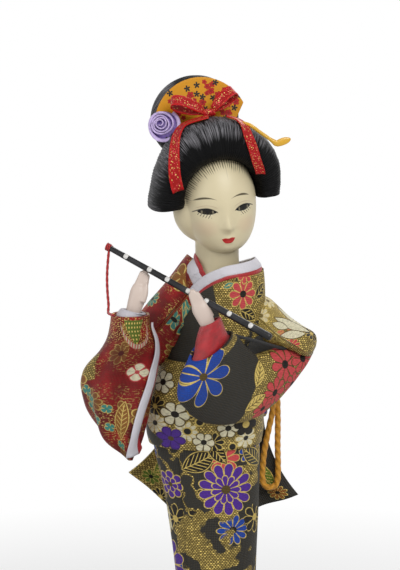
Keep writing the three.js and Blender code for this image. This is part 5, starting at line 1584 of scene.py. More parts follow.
class DOLL_OT_collars(Piecework, bpy.types.Operator):
    """Lay the white collars, and the red piping beside them"""

    bl_idname = "doll.collars"
    bl_label = "Collars"

    def make(self, context):
        white = plain_cloth("white collar cloth", "white", 0.6), "white_cloth"
        red = plain_cloth("red piping cloth", "scarlet", 0.45), "red_cloth"
        right = collar_path(right_neckline, CROSSING + 4.5, 186, 91), RIGHT_COLLAR_LIFT
        left = collar_path(left_neckline, CROSSING + 7.5, -6, 89), LEFT_COLLAR_LIFT
        under_left = left[0], LEFT_COLLAR_LIFT - 0.1
        piping = collar_band("collar_piping_cloth", "collar_piping_right", red, right, -7.1, -5.5)
        edging = collar_band("collar_red_left_cloth", "collar_red_left", red, under_left, -0.4, 1)
        collar_band("collar_white_right_cloth", "collar_white_right", white, right, -5.2, 2, piping)
        collar_band("collar_white_left_cloth", "collar_white_left", white, left, 1.3, 5.2, edging)


def obi_bow(look):
    outside = OBI_LIFT + sizes().obi_cloth / MM + 0.5

    def spot(across, along):
        angle, side = TURN * across, 2 * along - 1
        squeeze = lerp(0.8, 1, abs(side)) - 0.05 * bell(side, 0.12)
        pull = 0.35 * sin(5 * angle) * (1 - abs(side))
        c, s = cos(angle), sin(angle)
        full = (abs(c) ** 4 + abs(s) ** 4) ** -0.25
        end = sqrt(max(0, 1 - max(0, abs(side) - 0.92) ** 2 / 0.0065)) * 0.12 + 0.88
        y = BOW_MIDDLE.y + BOW_SIZE.y / 2 * full * c * squeeze * end + pull
        z = BOW_MIDDLE.z + BOW_SIZE.z / 2 * full * s * squeeze * end
        return place(outside_body(Vector((BOW_SIZE.x / 2 * side, y, z)), outside))

    def picture(across, along):
        return 48 * along + 90, 110 * across

    mesh = close_ends(bent_sheet(80, 60, spot, picture, True))
    bow = add_piece(mesh, "obi_bow_cloth", "doll", look, "gold_brocade", "obi_bow")


def obi_tail(node, side, splay, long, slant):
    ground, share = (dark_ground, 0.2) if side > 0 else (gold_ground, 0.8)
    look = brocade(f"{node} brocade", ground, tail_motifs, 9, ("green", "brown", "black"), share)
    thickness = sizes().sleeve_cloth
    top = BOW_MIDDLE.z - BOW_SIZE.z / 2 - 0.3

    def spot(across, along):
        w = across - 0.5
        x = side * (0.27 * BOW_SIZE.x + splay * along * along + w * 19 * (1 + 0.2 * along))
        wave = 1.2 * cos(TURN * w + side) * along + 0.3 * sin(9 * along + 6 * w)
        y = BOW_MIDDLE.y + thickness / MM + wave - 4 * along
        return place(Vector((x, y, top - along * (long - slant * across))))

    def picture(across, along):
        return 19 * across - 30, long * along + 2

    cloth = add_piece(bent_sheet(24, 40, spot, picture), f"{node}_cloth", "doll", look, "gold_brocade", node,
                      wall=thickness, inwards=side > 0)
    declare_cloth(cloth, spot, "hung", ["obi_bow"])


class DOLL_OT_obi(Piecework, bpy.types.Operator):
    """Wind the obi, and tie its bow and tails at the back"""

    bl_idname = "doll.obi"
    bl_label = "Obi"

    def make(self, context):
        look = brocade("obi brocade", gold_ground, obi_motifs, 13, ("cream", "black", "cream", "purple"), 0.6)
        thickness = sizes().obi_cloth

        def spot(across, along):
            angle, height = from_back(across), lerp(OBI_LOW, OBI_HIGH, along)
            crease = 0.25 * sin(height * 0.55 + 2 * sin(radians(angle)))
            edge = -0.5 * (2 * along - 1) ** 6 - 2.6 * (1 - smooth(height, 183, 206))
            lift = OBI_LIFT + thickness / MM + crease + edge + hip(angle, height)
            return place(body_surface(angle, height, lift))

        def picture(across, along):
            return CLOTH_RADIUS * radians(from_back(across) + 90), lerp(OBI_LOW, OBI_HIGH, along)

        mesh = bent_sheet(140, 30, spot, picture, True)
        band = add_piece(mesh, "obi_cloth", "doll", look, "gold_brocade", "obi", wall=thickness)
        declare_cloth(band, spot, "stretched", ["torso_former"])
        obi_bow(look)
        obi_tail("obi_tail_right", -1, 17, 46, 20)
        obi_tail("obi_tail_left", 1, 14.3, 45, 8)


def upper_sleeve(side, shoulder, elbow, look, slot, first, full, hang, pinch):
    """An upper sleeve, full at the shoulder and rounded at the elbow, that hangs below the arm."""
    down = (elbow - shoulder).normalized()
    through = BACKWARDS.cross(down).normalized()
    over = down.cross(through)
    under = through if through.z < 0 else -through
    start, long = shoulder.lerp(elbow, first), (elbow - shoulder).length * (1.18 - first)

    def spot(across, along):
        angle = TURN * across
        rumple = 0.6 * noise.noise(Vector((3 * cos(angle), 3 * sin(angle), 5 * along))) * along
        closing = rounded_end(along, 0.8)
        ring = over * cos(angle) + through * sin(angle)
        ring -= under * max(0, ring.dot(under)) * pinch * smooth(along, 0.35, 0.85)
        drape = hang * max(0, ring.dot(under)) * sin(pi * lerp(0.15, 0.85, along))
        girth = ARM_RADIUS * lerp(full, 1.07, smooth(along, 0, 0.25)) + rumple
        point = start + down * long * along + (ring * girth + under * drape) * closing
        point.y += 5.5 * (1 - smooth(along, 0, 0.35))
        point -= under * 3.6 * pinch * smooth(along, 0.5, 1)
        return place(outside_body(point, lerp(-2.5, SLEEVE_LIFT, smooth(along, 0.12, 0.4))))

    def picture(across, along):
        angle = 360 * across
        return ARM_RADIUS * radians(angle if angle <= 180 else angle - 360), long * along + 2

    mesh = face_outwards(bent_sheet(56, 36, spot, picture, True))
    node = f"sleeve_{side}_upper"
    cloth = add_piece(mesh, f"{node}_cloth", "doll", look, slot, node, wall=sizes().sleeve_cloth)
    declare_cloth(cloth, spot, "hung", [f"arm_wadding_{side}"])


def right_bag():
    look = brocade("right bag brocade", red_ground, right_bag_motifs, 14, ("brown",), 0.35)

    def spot(across, along):
        angle = from_back(across)
        point = right_bag_surface(angle, along, 0)
        rumple = 1.6 * smooth(along, 0.1, 0.4) * noise.noise(point * 0.09)
        return place(outside_body(right_bag_surface(angle, along, rumple), SLEEVE_LIFT))

    def picture(across, along):
        return 12 * radians(from_back(across) + 90), RIGHT_BAG_TOP - RIGHT_BAG_DROP * along

    mesh = bent_sheet(80, 70, spot, picture, True)
    close_ends(mesh, lambda v: v.co.z < place((0, 0, 180)).z)
    cloth = add_piece(mesh, "sleeve_right_bag_cloth", "doll", look, "red_brocade", "sleeve_right_bag",
                      wall=sizes().sleeve_cloth)
    declare_cloth(cloth, spot, "hung", ["cuff_right"])


def left_bag():
    look = brocade("left bag brocade", dark_ground, left_bag_motifs, share=0)

    def spot(across, along):
        point = left_bag_surface(360 * across, along, 0)
        rumple = 0.6 * noise.noise(point * 0.1)
        return place(outside_body(left_bag_surface(360 * across, along, rumple), SLEEVE_LIFT))

    def picture(across, along):
        point = left_bag_surface(360 * across, along, 0) - LEFT_WRIST
        return point.dot(LEFT_ALONG), point.z

    mesh = bent_sheet(72, 80, spot, picture, True)
    far = place(LEFT_ELBOW).x - 0.012
    close_ends(mesh, lambda v: v.co.x > far)
    cloth = add_piece(mesh, "sleeve_left_bag_cloth", "doll", look, "dark_brocade", "sleeve_left_bag",
                      wall=sizes().sleeve_cloth)
    declare_cloth(cloth, spot, "hung", ["cuff_left"])


def sleeve_lining():
    shares = [lerp(0.05, 0.96, i / 12) for i in range(13)]
    path = track([(i / 12, lerp(-5, -62, share ** 0.7), share) for i, share in enumerate(shares)])
    edge = lining_band("sleeve_lining_edge", "scarlet", "red_cloth", path, -0.85, -0.5)
    lining_band("sleeve_lining_cloth", "white", "white_cloth", path, -0.5, 0.5, edge)


def left_shade_cloth():
    """A black cloth between the left upper sleeve and the bag below it, which stands for the painted shade of
    the gap between them.
    """

    def spot(across, along):
        arm = LEFT_SHOULDER.lerp(LEFT_ELBOW, lerp(0.3, 1.0, across)) - Vector((0, 0, 2))
        bag = left_bag_surface(90, lerp(0.74, 0.05, across), -4)
        return place(outside_body(arm.lerp(bag, along), LEFT_BODICE_LIFT + 1.4))

    mesh = bent_sheet(24, 12, spot, lambda s, t: (26 * s, 24 * t))
    # A black sheet put where there is only shade: painted shade.
    look = plain_cloth("black gusset cloth", "black", 0.8)
    cloth = add_piece(mesh, "sleeve_left_gusset", "doll", look, "dark_brocade", wall=sizes().collar_cloth)
    declare_cloth(cloth, spot, "stretched", ["arm_wadding_left"])


def lining_band(name, colour_name, slot, path, right, left, sewn_on=None):
    thickness = sizes().collar_cloth

    def spot(across, along):
        offset = lerp(right, left, across) * lerp(0.15, 1, along ** 0.7) * 6
        return place(beside(right_bag_surface, path, along, offset, 0.45 + thickness / MM))

    mesh = bent_sheet(8, 60, spot, lambda s, t: (5 * s, 60 * t))
    bmesh.ops.reverse_faces(mesh, faces=mesh.faces)
    cloth = add_piece(mesh, name, "doll", plain_cloth(name, colour_name, 0.55), slot, wall=thickness)
    if sewn_on:
        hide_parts("sleeve_lining_right")
        declare_cloth(cloth, spot, "hung", ["sleeve_right_bag"], sewn_on)
    return cloth


def wrist_cuff(node, look, slot, surface, shares, wrist, direction, reach):
    """A cuff that lines the mouth of its sleeve and closes in round the wrist."""
    thickness = sizes().collar_cloth
    inset = -sizes().sleeve_cloth / MM - 1.2
    through = BACKWARDS.cross(direction).normalized()
    over = direction.cross(through)
    end = wrist + direction * reach
    mouth = [surface(a, shares[1], inset) for a in range(0, 360, 10)]
    middle = sum(mouth, Vector()) / len(mouth)
    start = mouth[0] - middle
    turn = atan2(start.dot(over), start.dot(through))
    spin = -1 if (mouth[1] - mouth[0]).cross(start).dot(direction) > 0 else 1

    def spot(across, along):
        lined = surface(360 * across, lerp(shares[0], shares[1], min(2 * along, 1)), inset)
        if along <= 0.5:
            return place(lined)
        angle = turn + spin * TURN * across
        close = end + (through * cos(angle) + over * sin(angle)) * CUFF_OPENING
        share = 2 * along - 1
        return place(lined.lerp(close, share) + direction * 0.8 * sin(pi * share))

    mesh = face_outwards(bent_sheet(48, 24, spot, lambda s, t: (50 * s, 14 * t), True))
    cloth = add_piece(mesh, f"{node}_cloth", "doll", look, slot, node, wall=thickness)
    declare_cloth(cloth, spot, "gathered", [node.replace("cuff", "hand")])


class DOLL_OT_sleeves(Piecework, bpy.types.Operator):
    """Sew the upper sleeves, the hanging bags, the lining and the cuffs"""

    bl_idname = "doll.sleeves"
    bl_label = "Sleeves"

    def make(self, context):
        red = brocade("right arm brocade", red_ground, right_arm_motifs, 11, ("brown", "coral", "teal"), 0.5)
        gold = brocade("left arm brocade", gold_ground, left_arm_motifs, 10, ("cream", "black", "coral"), 0.4)
        upper_sleeve("right", RIGHT_SHOULDER, RIGHT_ELBOW, red, "red_brocade", -0.2, 1.1, 8, 0)
        upper_sleeve("left", LEFT_SHOULDER, LEFT_ELBOW, gold, "gold_brocade", -0.1, 0.7, 0, 0.7)
        right_bag()
        left_bag()
        sleeve_lining()
        left_shade_cloth()
        white = plain_cloth("white cuff cloth", "white", 0.6)
        scarlet = satin_look("scarlet cuff satin", "scarlet")
        wrist_cuff("cuff_right", white, "white_cloth", right_bag_surface, (0.1, 0), RIGHT_WRIST,
                   RIGHT_HAND_DIRECTION, 0.8)
        wrist_cuff("cuff_left", scarlet, "red_cloth", left_bag_surface, (0.93, 1),
                   LEFT_PALM + Vector((1.5, 0, 0.3)), LEFT_HAND_DIRECTION, 2.4)


def shape_hand(node, wrist, direction, long, thumb, look):
    side = BACKWARDS.cross(direction).normalized()
    palm_at = track((
        (-5, 2.1, 3.0), (0, 2.15, 3.1), (0.3 * long, 2.5, 3.7), (0.5 * long, 2.4, 3.9),
        (0.6 * long, 1.9, 3.4),
    ))

    def palm_radius(along, angle):
        return palm_at(lerp(-5, 0.6 * long, along))

    points = [wrist + direction * reach for reach in (-5, 0, 0.3 * long, 0.6 * long)]
    whole = tube(points, palm_radius, 20, 16)
    for i, reach in enumerate((0.92, 1.0, 0.98, 0.88)):
        across = (i - 1.5) * 1.85
        points = [wrist + direction * (share * long) + side * across * lerp(1.15, 0.45, share)
                  for share in (0.42, 0.65, 0.85, reach)]

        def finger_radius(along, angle):
            size = lerp(1.25, 0.75, along) * rounded_end(along, 0.85)
            return 1.25 * size, size

        join_into(whole, tube(points, finger_radius, 12, 16))
    root = wrist + direction * 0.26 * long + thumb
    points = [root, root + direction * 0.2 * long + thumb * 0.1, root + direction * 0.42 * long - thumb * 0.3]
    join_into(whole, tube(points, lambda along, angle: (lerp(1.6, 0.9, along),) * 2, 12, 12))
    piece = add_piece(whole, f"{node}_shape", "doll", look, "skin", node)
    fuse(piece, 0.0004, 3)
    cut_flute(piece)


class DOLL_OT_hands(Piecework, bpy.types.Operator):
    """Shape the hands, their fingers round the flute"""

    bl_idname = "doll.hands"
    bl_label = "Hands"

    def make(self, context):
        look = hand_look()
        shape_hand("hand_right", RIGHT_WRIST, RIGHT_HAND_DIRECTION, 20.5, Vector((2.6, -1.5, 0)), look)
        shape_hand("hand_left", LEFT_PALM, LEFT_HAND_DIRECTION, 18.5, Vector((2.6, 1.5, 0)), look)


def cut_flute(piece):
    """Bore the flute's own way through a piece."""
    cutter = tube([flute_at(FLUTE_TIP - 2), flute_at(FLUTE_BUTT + 2)],
                  lambda along, angle: (lerp(1.5, 1.95, along),) * 2, 24, 2, UP)
    bore = add_object("flute way", mesh_data(cutter, "flute way"))
    hole = piece.modifiers.new("flute way", "BOOLEAN")
    hole.object, hole.operation, hole.solver = bore, "DIFFERENCE", "EXACT"
    apply_modifiers(piece)
    bpy.data.meshes.remove(bore.data)


def flute_spots():
    """Low white domes along the side that faces forwards."""
    facing = Vector((0.15, -0.9, 0.4))
    facing = (facing - FLUTE_DIRECTION * facing.dot(FLUTE_DIRECTION)).normalized()
    whole = bmesh.new()
    for reach in FLUTE_SPOTS:
        share = (reach - FLUTE_TIP) / (FLUTE_BUTT - FLUTE_TIP)
        radius = lerp(FLUTE_TIP_RADIUS, FLUTE_BUTT_RADIUS, share)
        turn = FLUTE_DIRECTION.cross(facing)
        frame_ = Matrix((FLUTE_DIRECTION, turn, facing)).transposed().to_4x4()
        at = Matrix.Translation(place(flute_at(reach) + facing * (radius - 0.5))) @ frame_
        shape = at @ Matrix.Diagonal((0.0014, 0.0012, 0.00075, 1))
        bmesh.ops.create_uvsphere(whole, u_segments=16, v_segments=10, radius=1, matrix=shape)
    look = inner_look("white enamel", 0xE8E6E2, 600, 0.35, 0.0, 0.00003)
    add_piece(whole, "flute_spots", "flute", look, "flute")


def flute_knot():
    """Three turns of the cord round the tip."""
    turn_side = FLUTE_DIRECTION.orthogonal().normalized()
    turn_up = FLUTE_DIRECTION.cross(turn_side)
    route = []
    for i in range(61):
        angle = 6 * pi * i / 60
        reach = KNOT_REACH - 1.1 + 2.2 * i / 60
        route.append(flute_at(reach) + (turn_side * cos(angle) + turn_up * sin(angle)) * 1.42)
    mesh = swept(route, 10, lambda along, angle: 0.38, 33)
    look = twisted_look("knotted red cord", "ribbon", 2.2)
    add_piece(mesh, "flute_knot_turns", "flute", look, "red_cord", "flute_cord_knot")


class DOLL_OT_flute(Piecework, bpy.types.Operator):
    """Turn the flute, its white spots and the knot of its cord"""

    bl_idname = "doll.flute"
    bl_label = "Flute"

    def make(self, context):
        def radius(along, angle):
            reach = lerp(FLUTE_TIP, FLUTE_BUTT, along)
            end = min(reach - FLUTE_TIP, FLUTE_BUTT - reach)
            size = lerp(FLUTE_TIP_RADIUS, FLUTE_BUTT_RADIUS, along) * (0.7 + 0.3 * smooth(end, 0, 0.8))
            node = 0.08 * bell((reach - 20) % 21 - 10, 0.5)
            return size + node, size + node

        points = [flute_at(lerp(FLUTE_TIP, FLUTE_BUTT, i / 4)) for i in range(5)]
        mesh = tube(points, radius, 24, 160, UP)
        flute = add_piece(mesh, "flute_stick", "flute", lacquer_look("flute lacquer", 0.06), "flute", "flute")
        flute.data.set_sharp_from_angle(angle=radians(60))
        flute_spots()
        flute_knot()


def head_lobe(whole, middle, half, tilt):
    """A rounded form that fuses with the skull: the back of the jaw, or an ear."""
    form = bmesh.new()
    shape = Matrix.Translation(middle) @ Matrix.Rotation(radians(tilt), 4, "Y") @ Matrix.Diagonal((*half, 1))
    bmesh.ops.create_uvsphere(form, u_segments=48, v_segments=32, radius=1, matrix=shape)
    for v in form.verts:
        v.co = in_head(v.co)
    join_into(whole, form)


def glass_eye(name, node, side, look):
    """A glass lens with an almond outline, a little proud of the face."""

    def spot(across, along):
        s, t = 2 * across - 1, 2 * along - 1
        half = (1.45 if t > 0 else 1.15) * (1 - abs(s) ** 2.2) ** 0.8
        x = FACE_MIDDLE + side * EYE_OFFSET + 3.75 * s
        z = EYE_HEIGHT + half * t + 0.12 * s * side
        bulge = 0.42 * sqrt(max(0, (1 - s * s) * (1 - t * t))) + 0.12
        return in_head(face_point(x, z, bulge))

    add_piece(bent_sheet(40, 24, spot, wraps=True), name, "head", look, "eyes", node, wall=0.0008)


class DOLL_OT_head(Piecework, bpy.types.Operator):
    """Model the head with its neck and ears, and set the eyes"""

    bl_idname = "doll.head"
    bl_label = "Head"

    def make(self, context):
        def skull(across, along):
            latitude = radians(lerp(-89.5, 89.5, along))
            return in_head(head_surface(TURN * (across - 0.5), latitude))

        whole = close_ends(bent_sheet(180, 130, skull, wraps=True))
        profile = track((
            (NECK_LOW, 11.6), (256.3, 11), (260.3, 10.1), (264.3, 9.8), (270, 9.8), (NECK_HIGH, 9.8),
        ))

        def neck(across, along):
            angle, height = TURN * across, lerp(NECK_LOW, NECK_HIGH, along)
            radius = profile(height)[0]
            return place((radius * cos(angle), radius * sin(angle), height))

        join_into(whole, close_ends(bent_sheet(64, 40, neck, wraps=True)))
        head_lobe(whole, (-3.5, 1.5, -4), (17.1, 12, 16), 0)
        head_lobe(whole, (14.5, 5, -2.5), (3.2, 3.2, 7), 20)
        head = add_piece(whole, "head_shape", "head", skin_look(), "skin", "head")
        fuse(head, 0.00038, 6)
        look = eye_look()
        for name, node, side in (("eye_glass_right", "eye_right", -1), ("eye_glass_left", "eye_left", 1)):
            glass_eye(name, node, side, look)


def strand_rise(turns, along):
    """Uneven combed ridges across the hair."""
    count = sizes().strands
    ridge = sin(turns * count * 2 * pi + 2.5 * noise.noise(Vector((turns * 40, along * 1.5, 0))))
    clump = noise.noise(Vector((turns * count * 0.35, along * 0.8, 4)))
    return sizes().strand_depth / MM * (0.35 * ridge + 0.9 * clump)


def hair_roll():
    def spot(across, along):
        crown = lerp(-WING_ANGLE, WING_ANGLE, across)
        turn = 360 * along
        point = hair_surface(crown, turn, strand_rise(across, cos(radians(turn))))
        return in_head(outside_head(point, 0.25))

    mesh = bent_sheet(420, 64, spot, wraps=True)
    foot, down = Vector((0, 0, -WING_DROP)), -UP
    cut_away(mesh, foot, down)
    close_ends(mesh)
    floor, below = in_head(foot), HEAD_FRAME.to_3x3() @ down
    relax(mesh, [v for v in mesh.verts if (v.co - floor).dot(below) > -0.0016], 5)

    # Where the painted highlight lies: a band over the top of the roll.
    def shine_of(x, y, z):
        out = (x * x + z * z).math("SQRT")
        return out.above(30.5, 7) * out.below(42, 4)

    look = hair_look("front hair", lambda x, y, z: (x.math("ARCTAN2", z) * 28, y), shine_of)
    add_piece(mesh, "hair_front_roll", "head", look, "hair", "hair_front")


def hair_bun():
    def spot(across, along):
        longitude, latitude = TURN * across, radians(lerp(-89, 89, along))
        ridge = strand_rise(across * 1.4, sin(latitude)) * cos(latitude)
        level = cos(latitude)
        x = (BUN_HALF.x + ridge) * sin(longitude) * level
        y = BUN_MIDDLE.y - (BUN_HALF.y + ridge) * cos(longitude) * level
        z = BUN_MIDDLE.z + BUN_HALF.z * sin(latitude)
        narrowing = 1 - 0.42 * smooth(-z, -6, 7)
        return in_head(outside_head(Vector((x * narrowing, y, z)), 0.2))

    mesh = bent_sheet(300, 90, spot, wraps=True)
    cut_away(mesh, (0, 0, -NAPE_DROP), (0, 0, -1))
    for height, slope in ((0, 0), (-2, -1.4)):
        cut_away(mesh, (0, 0.5, height), (0, -1, slope))
    close_ends(mesh)
    # The second function places the painted highlight, over the upper part of the back hair.
    look = hair_look("back hair", lambda x, y, z: (x.math("ARCTAN2", y - BUN_MIDDLE.y) * 24, z),
                     lambda x, y, z: abs(z - 16).below(8, 8))
    add_piece(mesh, "hair_back_bun", "head", look, "hair", "hair_back")


def hair_topknot():
    """A tall roll behind the comb, combed from side to side over the top."""

    def spot(across, along):
        longitude, latitude = TURN * across, radians(lerp(-89, 89, along))
        ridge = 0.8 * strand_rise(across, sin(latitude)) * cos(latitude)
        level = cos(latitude)
        x = TOPKNOT_MIDDLE.x + TOPKNOT_HALF.x * sin(latitude)
        y = TOPKNOT_MIDDLE.y + (TOPKNOT_HALF.y + ridge) * level * cos(longitude)
        z = TOPKNOT_MIDDLE.z + (TOPKNOT_HALF.z + ridge) * level * sin(longitude)
        flat = COMB_FRAME.inverted() @ Vector((x, y, z))
        flat.y = max(flat.y, 1.9)
        return in_head(COMB_FRAME @ flat)

    mesh = close_ends(bent_sheet(160, 90, spot, wraps=True))

    # The second function places the painted highlight, on the upper sides of the topknot.
    look = hair_look("topknot hair", lambda x, y, z: ((z - 34.5).math("ARCTAN2", y - 15.5) * 15, x),
                     lambda x, y, z: abs(x + 4).above(8, 5) * z.above(34, 8))
    add_piece(mesh, "hair_topknot", "head", look, "hair", "topknot")


class DOLL_OT_hair(Piecework, bpy.types.Operator):
    """Comb the front roll, the back hair and the topknot"""

    bl_idname = "doll.hair"
    bl_label = "Hair"

    def make(self, context):
        hair_roll()
        hair_bun()
        hair_topknot()


class DOLL_OT_comb(Piecework, bpy.types.Operator):
    """Stand the printed comb behind the front roll"""

    bl_idname = "doll.comb"
    bl_label = "Comb"

    def make(self, context):
        def flat(across, along):
            angle = radians(lerp(-COMB_HALF_ANGLE, COMB_HALF_ANGLE, across))
            arc = COMB_RADIUS * sin(angle), COMB_MIDDLE + COMB_RADIUS * cos(angle)
            return lerp(lerp(-COMB_FOOT_HALF, COMB_FOOT_HALF, across), arc[0], along), lerp(3, arc[1], along)

        def spot(across, along):
            x, z = flat(across, along)
            return in_head(COMB_FRAME @ Vector((x, 0, z)))

        mesh = bent_sheet(72, 24, spot, flat)
        comb = add_piece(mesh, "comb_plate", "head", comb_look(), "comb", "comb", wall=0.0013)
        edge = comb.modifiers.new("edge", "BEVEL")
        edge.width, edge.segments, edge.limit_method = 0.0003, 3, "ANGLE"


# The ways of the ribbon's tails over the front roll: angles from the crown and round the section
RIGHT_TAIL = ((-4, 3), (-10, 1), (-16, 0), (-21.5, 4), (-26, 16), (-33, 36), (-39, 50), (-47, 66), (-66, 100))
LEFT_TAIL = ((8, 4), (14, 12), (18, 32), (22, 62), (31, 90), (41, 109), (55, 120))


def ribbon_tail(node, path, look, share):
    half = sizes().ribbon_width / MM / 2 * share
    line = track([(i / (len(path) - 1), *spot) for i, spot in enumerate(path)])

    def spot(across, along):
        w = 2 * across - 1
        cupped = 0.35 * w * w
        return in_head(beside(hair_surface, line, along, half * w, 1.15 + cupped))

    mesh = face_outwards(bent_sheet(12, 72, spot, lambda s, t: (half * (2 * s - 1), 60 * t)))
    ribbon = add_piece(mesh, f"{node}_strip", "head", look, "ribbon", node, wall=sizes().ribbon_cloth)
    declare_cloth(ribbon, spot, "laid", ["hair_front"])


def bow_loop(node, side, rise, roll, long, look):
    half = sizes().ribbon_width / MM / 2
    turn = Matrix.Rotation(radians(-rise), 4, "Y") @ Matrix.Rotation(radians(90 + roll), 4, "X")
    if side < 0:
        turn = Matrix.Rotation(pi, 4, "Z") @ turn

    def spot(across, along):
        angle = TURN * along
        bulge = (1 - cos(angle)) / 2
        lift = 4 * sin(angle) * (0.35 + 0.65 * bulge)
        width = half * lerp(0.72, 1, smooth(bulge, 0, 0.4))
        point = turn @ Vector((2.4 + long * bulge, lift, width * (2 * across - 1))) + BOW_KNOT
        flat = COMB_FRAME.inverted() @ point
        flat.y = min(flat.y, -0.7)
        return in_head(COMB_FRAME @ flat)

    mesh = bent_sheet(12, 64, spot, lambda s, t: (half * (2 * s - 1), 40 * t))
    ribbon = add_piece(mesh, f"{node}_band", "head", look, "ribbon", node, wall=sizes().ribbon_cloth)
    declare_cloth(ribbon, spot, "folded", ["bow_knot"])


def bow_knot(look):
    """The turn of ribbon that holds the bow together."""

    def spot(across, along):
        angle, side = TURN * across, 2 * along - 1
        pinch = 1 - 0.22 * side * side + 0.06 * cos(6 * pi * side)
        point = Vector((2.7 * side, 1.5 * pinch * cos(angle), 1.9 * pinch * sin(angle)))
        return in_head(BOW_KNOT + point)

    mesh = close_ends(bent_sheet(40, 24, spot, lambda s, t: (5 * (t - 0.5), 18 * s), True))
    add_piece(mesh, "bow_knot_turn", "head", look, "ribbon", "bow_knot")


class DOLL_OT_ribbons(Piecework, bpy.types.Operator):
    """Tie the hair ribbon: two loops, a knot and two tails"""

    bl_idname = "doll.ribbons"
    bl_label = "Ribbons"

    def make(self, context):
        look = ribbon_look()
        ribbon_tail("ribbon_tail_right", RIGHT_TAIL, look, 1)
        ribbon_tail("ribbon_tail_left", LEFT_TAIL, look, 0.8)
        bow_loop("bow_loop_right", -1, 24, -48, 15.5, look)
        bow_loop("bow_loop_left", 1, 34, 46, 12.6, look)
        bow_knot(look)


class DOLL_OT_rose(Piecework, bpy.types.Operator):
    """Roll the ribbon rose and set it on its stem"""

    bl_idname = "doll.rose"
    bl_label = "Rose"

    def make(self, context):
        facing = Vector((-0.3, -0.88, 0.38)).normalized()
        turn = UP.rotation_difference(facing).to_matrix().to_4x4()
        seat = hair_surface(-38, 0, 5.6) + Vector((4.9, 8.4, 2.2))
        frame_ = Matrix.Translation(seat) @ turn

        def rise_at(share):
            return lerp(5.4, 2.2, share * share)

        def spot(across, along):
            angle = 9 * pi * along - 2.6
            flare = smooth(along, 0.74, 0.9)
            wobble = 0.4 * sin(1.37 * angle) + 0.28 * sin(2.74 * angle + 1)
            radius = lerp(0.5, 5.2, along ** 0.9) + along * wobble + 0.8 * flare
            curl = radians(150) * max(0, across - 0.4) / 0.6
            lip = lerp(0.3, 0.55, along) + 0.4 * flare
            rise = rise_at(along) * min(across / 0.4, 1) + 0.9 * sin(1.7 * angle) * across * along
            reach = radius + lip * (1 - cos(curl))
            aside = 0.8 * (1 - along)
            x, y = reach * cos(angle) - aside, reach * sin(angle) + aside
            return in_head(frame_ @ Vector((x, y, 0.8 + rise + lip * sin(curl))))

        def heart(across, along):
            angle, radius = TURN * across, lerp(6.7, 0.05, along)
            height = -0.3 if along < 0.02 else rise_at((radius / 6.7) ** 0.8) - 0.3
            return in_head(frame_ @ Vector((radius * cos(angle), radius * sin(angle), height)))

        look = satin_look("lilac satin", "lilac", 2.5)
        mesh = bent_sheet(20, 260, spot, lambda s, t: (6 * s, 90 * t))
        rose = add_piece(mesh, "rose_ribbon", "head", look, "rose", "ribbon_rose", wall=0.0006)
        declare_cloth(rose, spot, "folded", ["hair_front"])
        base = close_ends(bent_sheet(48, 60, heart, lambda s, t: (t, 38 * s), wraps=True))
        stem = tube([HEAD_FRAME @ (seat + facing * 0.5), HEAD_FRAME @ hair_surface(-38, 0, -2)],
                    lambda along, angle: (0.6, 0.6), 12, 4, UP)
        add_piece(base, "rose_base", "head", look, "rose")
        add_piece(stem, "rose_stem", "head", inner_look("bound wire", 0x18181A, 800, 0.6), "rose")


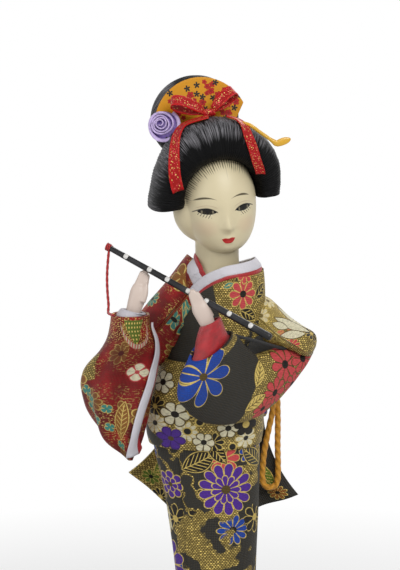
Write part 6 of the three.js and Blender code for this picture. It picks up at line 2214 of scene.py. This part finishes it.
class DOLL_OT_hairpin(Piecework, bpy.types.Operator):
    """Draw out the hairpin with its flattened spoon"""

    bl_idname = "doll.hairpin"
    bl_label = "Hairpin"

    def make(self, context):
        bend, spoon = Vector((24.7, -15, 24.5)), Vector((0.97, -0.1, 0.22))
        shaft = ((4, -3.5, 32.5), (8, -6.8, 33.8), (11.4, -9.7, 34.5), (14.2, -12, 33.6), (17.7, -13, 30.6))
        route = [Vector(point) for point in shaft]
        route += [route[-1].lerp(bend, share) for share in (0.5, 0.85, 0.96)]
        route += [bend + spoon * reach for reach in (0.5, 2, 3.8, 5.2, 6.5)]
        widths = track((
            (0, 0.95, 0.95), (0.3, 0.9, 0.9), (0.62, 0.78, 0.78), (0.72, 0.85, 0.8), (0.8, 1.3, 0.7),
            (0.88, 1.65, 0.6), (0.95, 1.4, 0.5), (0.99, 0.7, 0.35), (1, 0.3, 0.2),
        ))
        points = [HEAD_FRAME @ p for p in spread(route, 40)]
        mesh = tube(points, lambda along, angle: widths(along), 20, 80, UP)
        look = Look("yellow horn", 0.35, {"Coat Weight": 0.3})
        look.object_map()
        cloud = look.noise(160, detail=2.0)
        look.colour = look.mix(cloud, tint("pin", 0.75), "pin")
        look.height = cloud
        add_piece(mesh, "hairpin_shaft", "hairpin", look.done(0.0001), "pin", "hairpin")


class DOLL_PT_panel(bpy.types.Panel):
    """Lists the steps that dress the doll"""

    bl_label = "Doll"
    bl_idname = "DOLL_PT_panel"
    bl_space_type = "VIEW_3D"
    bl_region_type = "UI"
    bl_category = "Doll"

    def draw(self, context):
        for group in (context.scene.doll_sizes, context.scene.doll_colours):
            for key in group.__annotations__:
                self.layout.prop(group, key)
        for step in STEPS:
            self.layout.operator(step.bl_idname)


STEPS = (
    DOLL_OT_stage, DOLL_OT_cords, DOLL_OT_stand, DOLL_OT_skirt, DOLL_OT_bodice, DOLL_OT_collars,
    DOLL_OT_obi, DOLL_OT_sleeves, DOLL_OT_hands, DOLL_OT_flute, DOLL_OT_head, DOLL_OT_hair,
    DOLL_OT_comb, DOLL_OT_ribbons, DOLL_OT_rose, DOLL_OT_hairpin,
)
CLASSES = (DollSizes, DollColours, *STEPS, DOLL_PT_panel)


def register():
    for cls in CLASSES:
        bpy.utils.register_class(cls)
    bpy.types.Scene.doll_sizes = PointerProperty(type=DollSizes)
    bpy.types.Scene.doll_colours = PointerProperty(type=DollColours)


def unregister():
    del bpy.types.Scene.doll_colours
    del bpy.types.Scene.doll_sizes
    for cls in reversed(CLASSES):
        bpy.utils.unregister_class(cls)


def main():
    register()
    for step in STEPS:
        group, name = step.bl_idname.split(".")
        getattr(getattr(bpy.ops, group), name)()


if __name__ == "__main__":
    main()
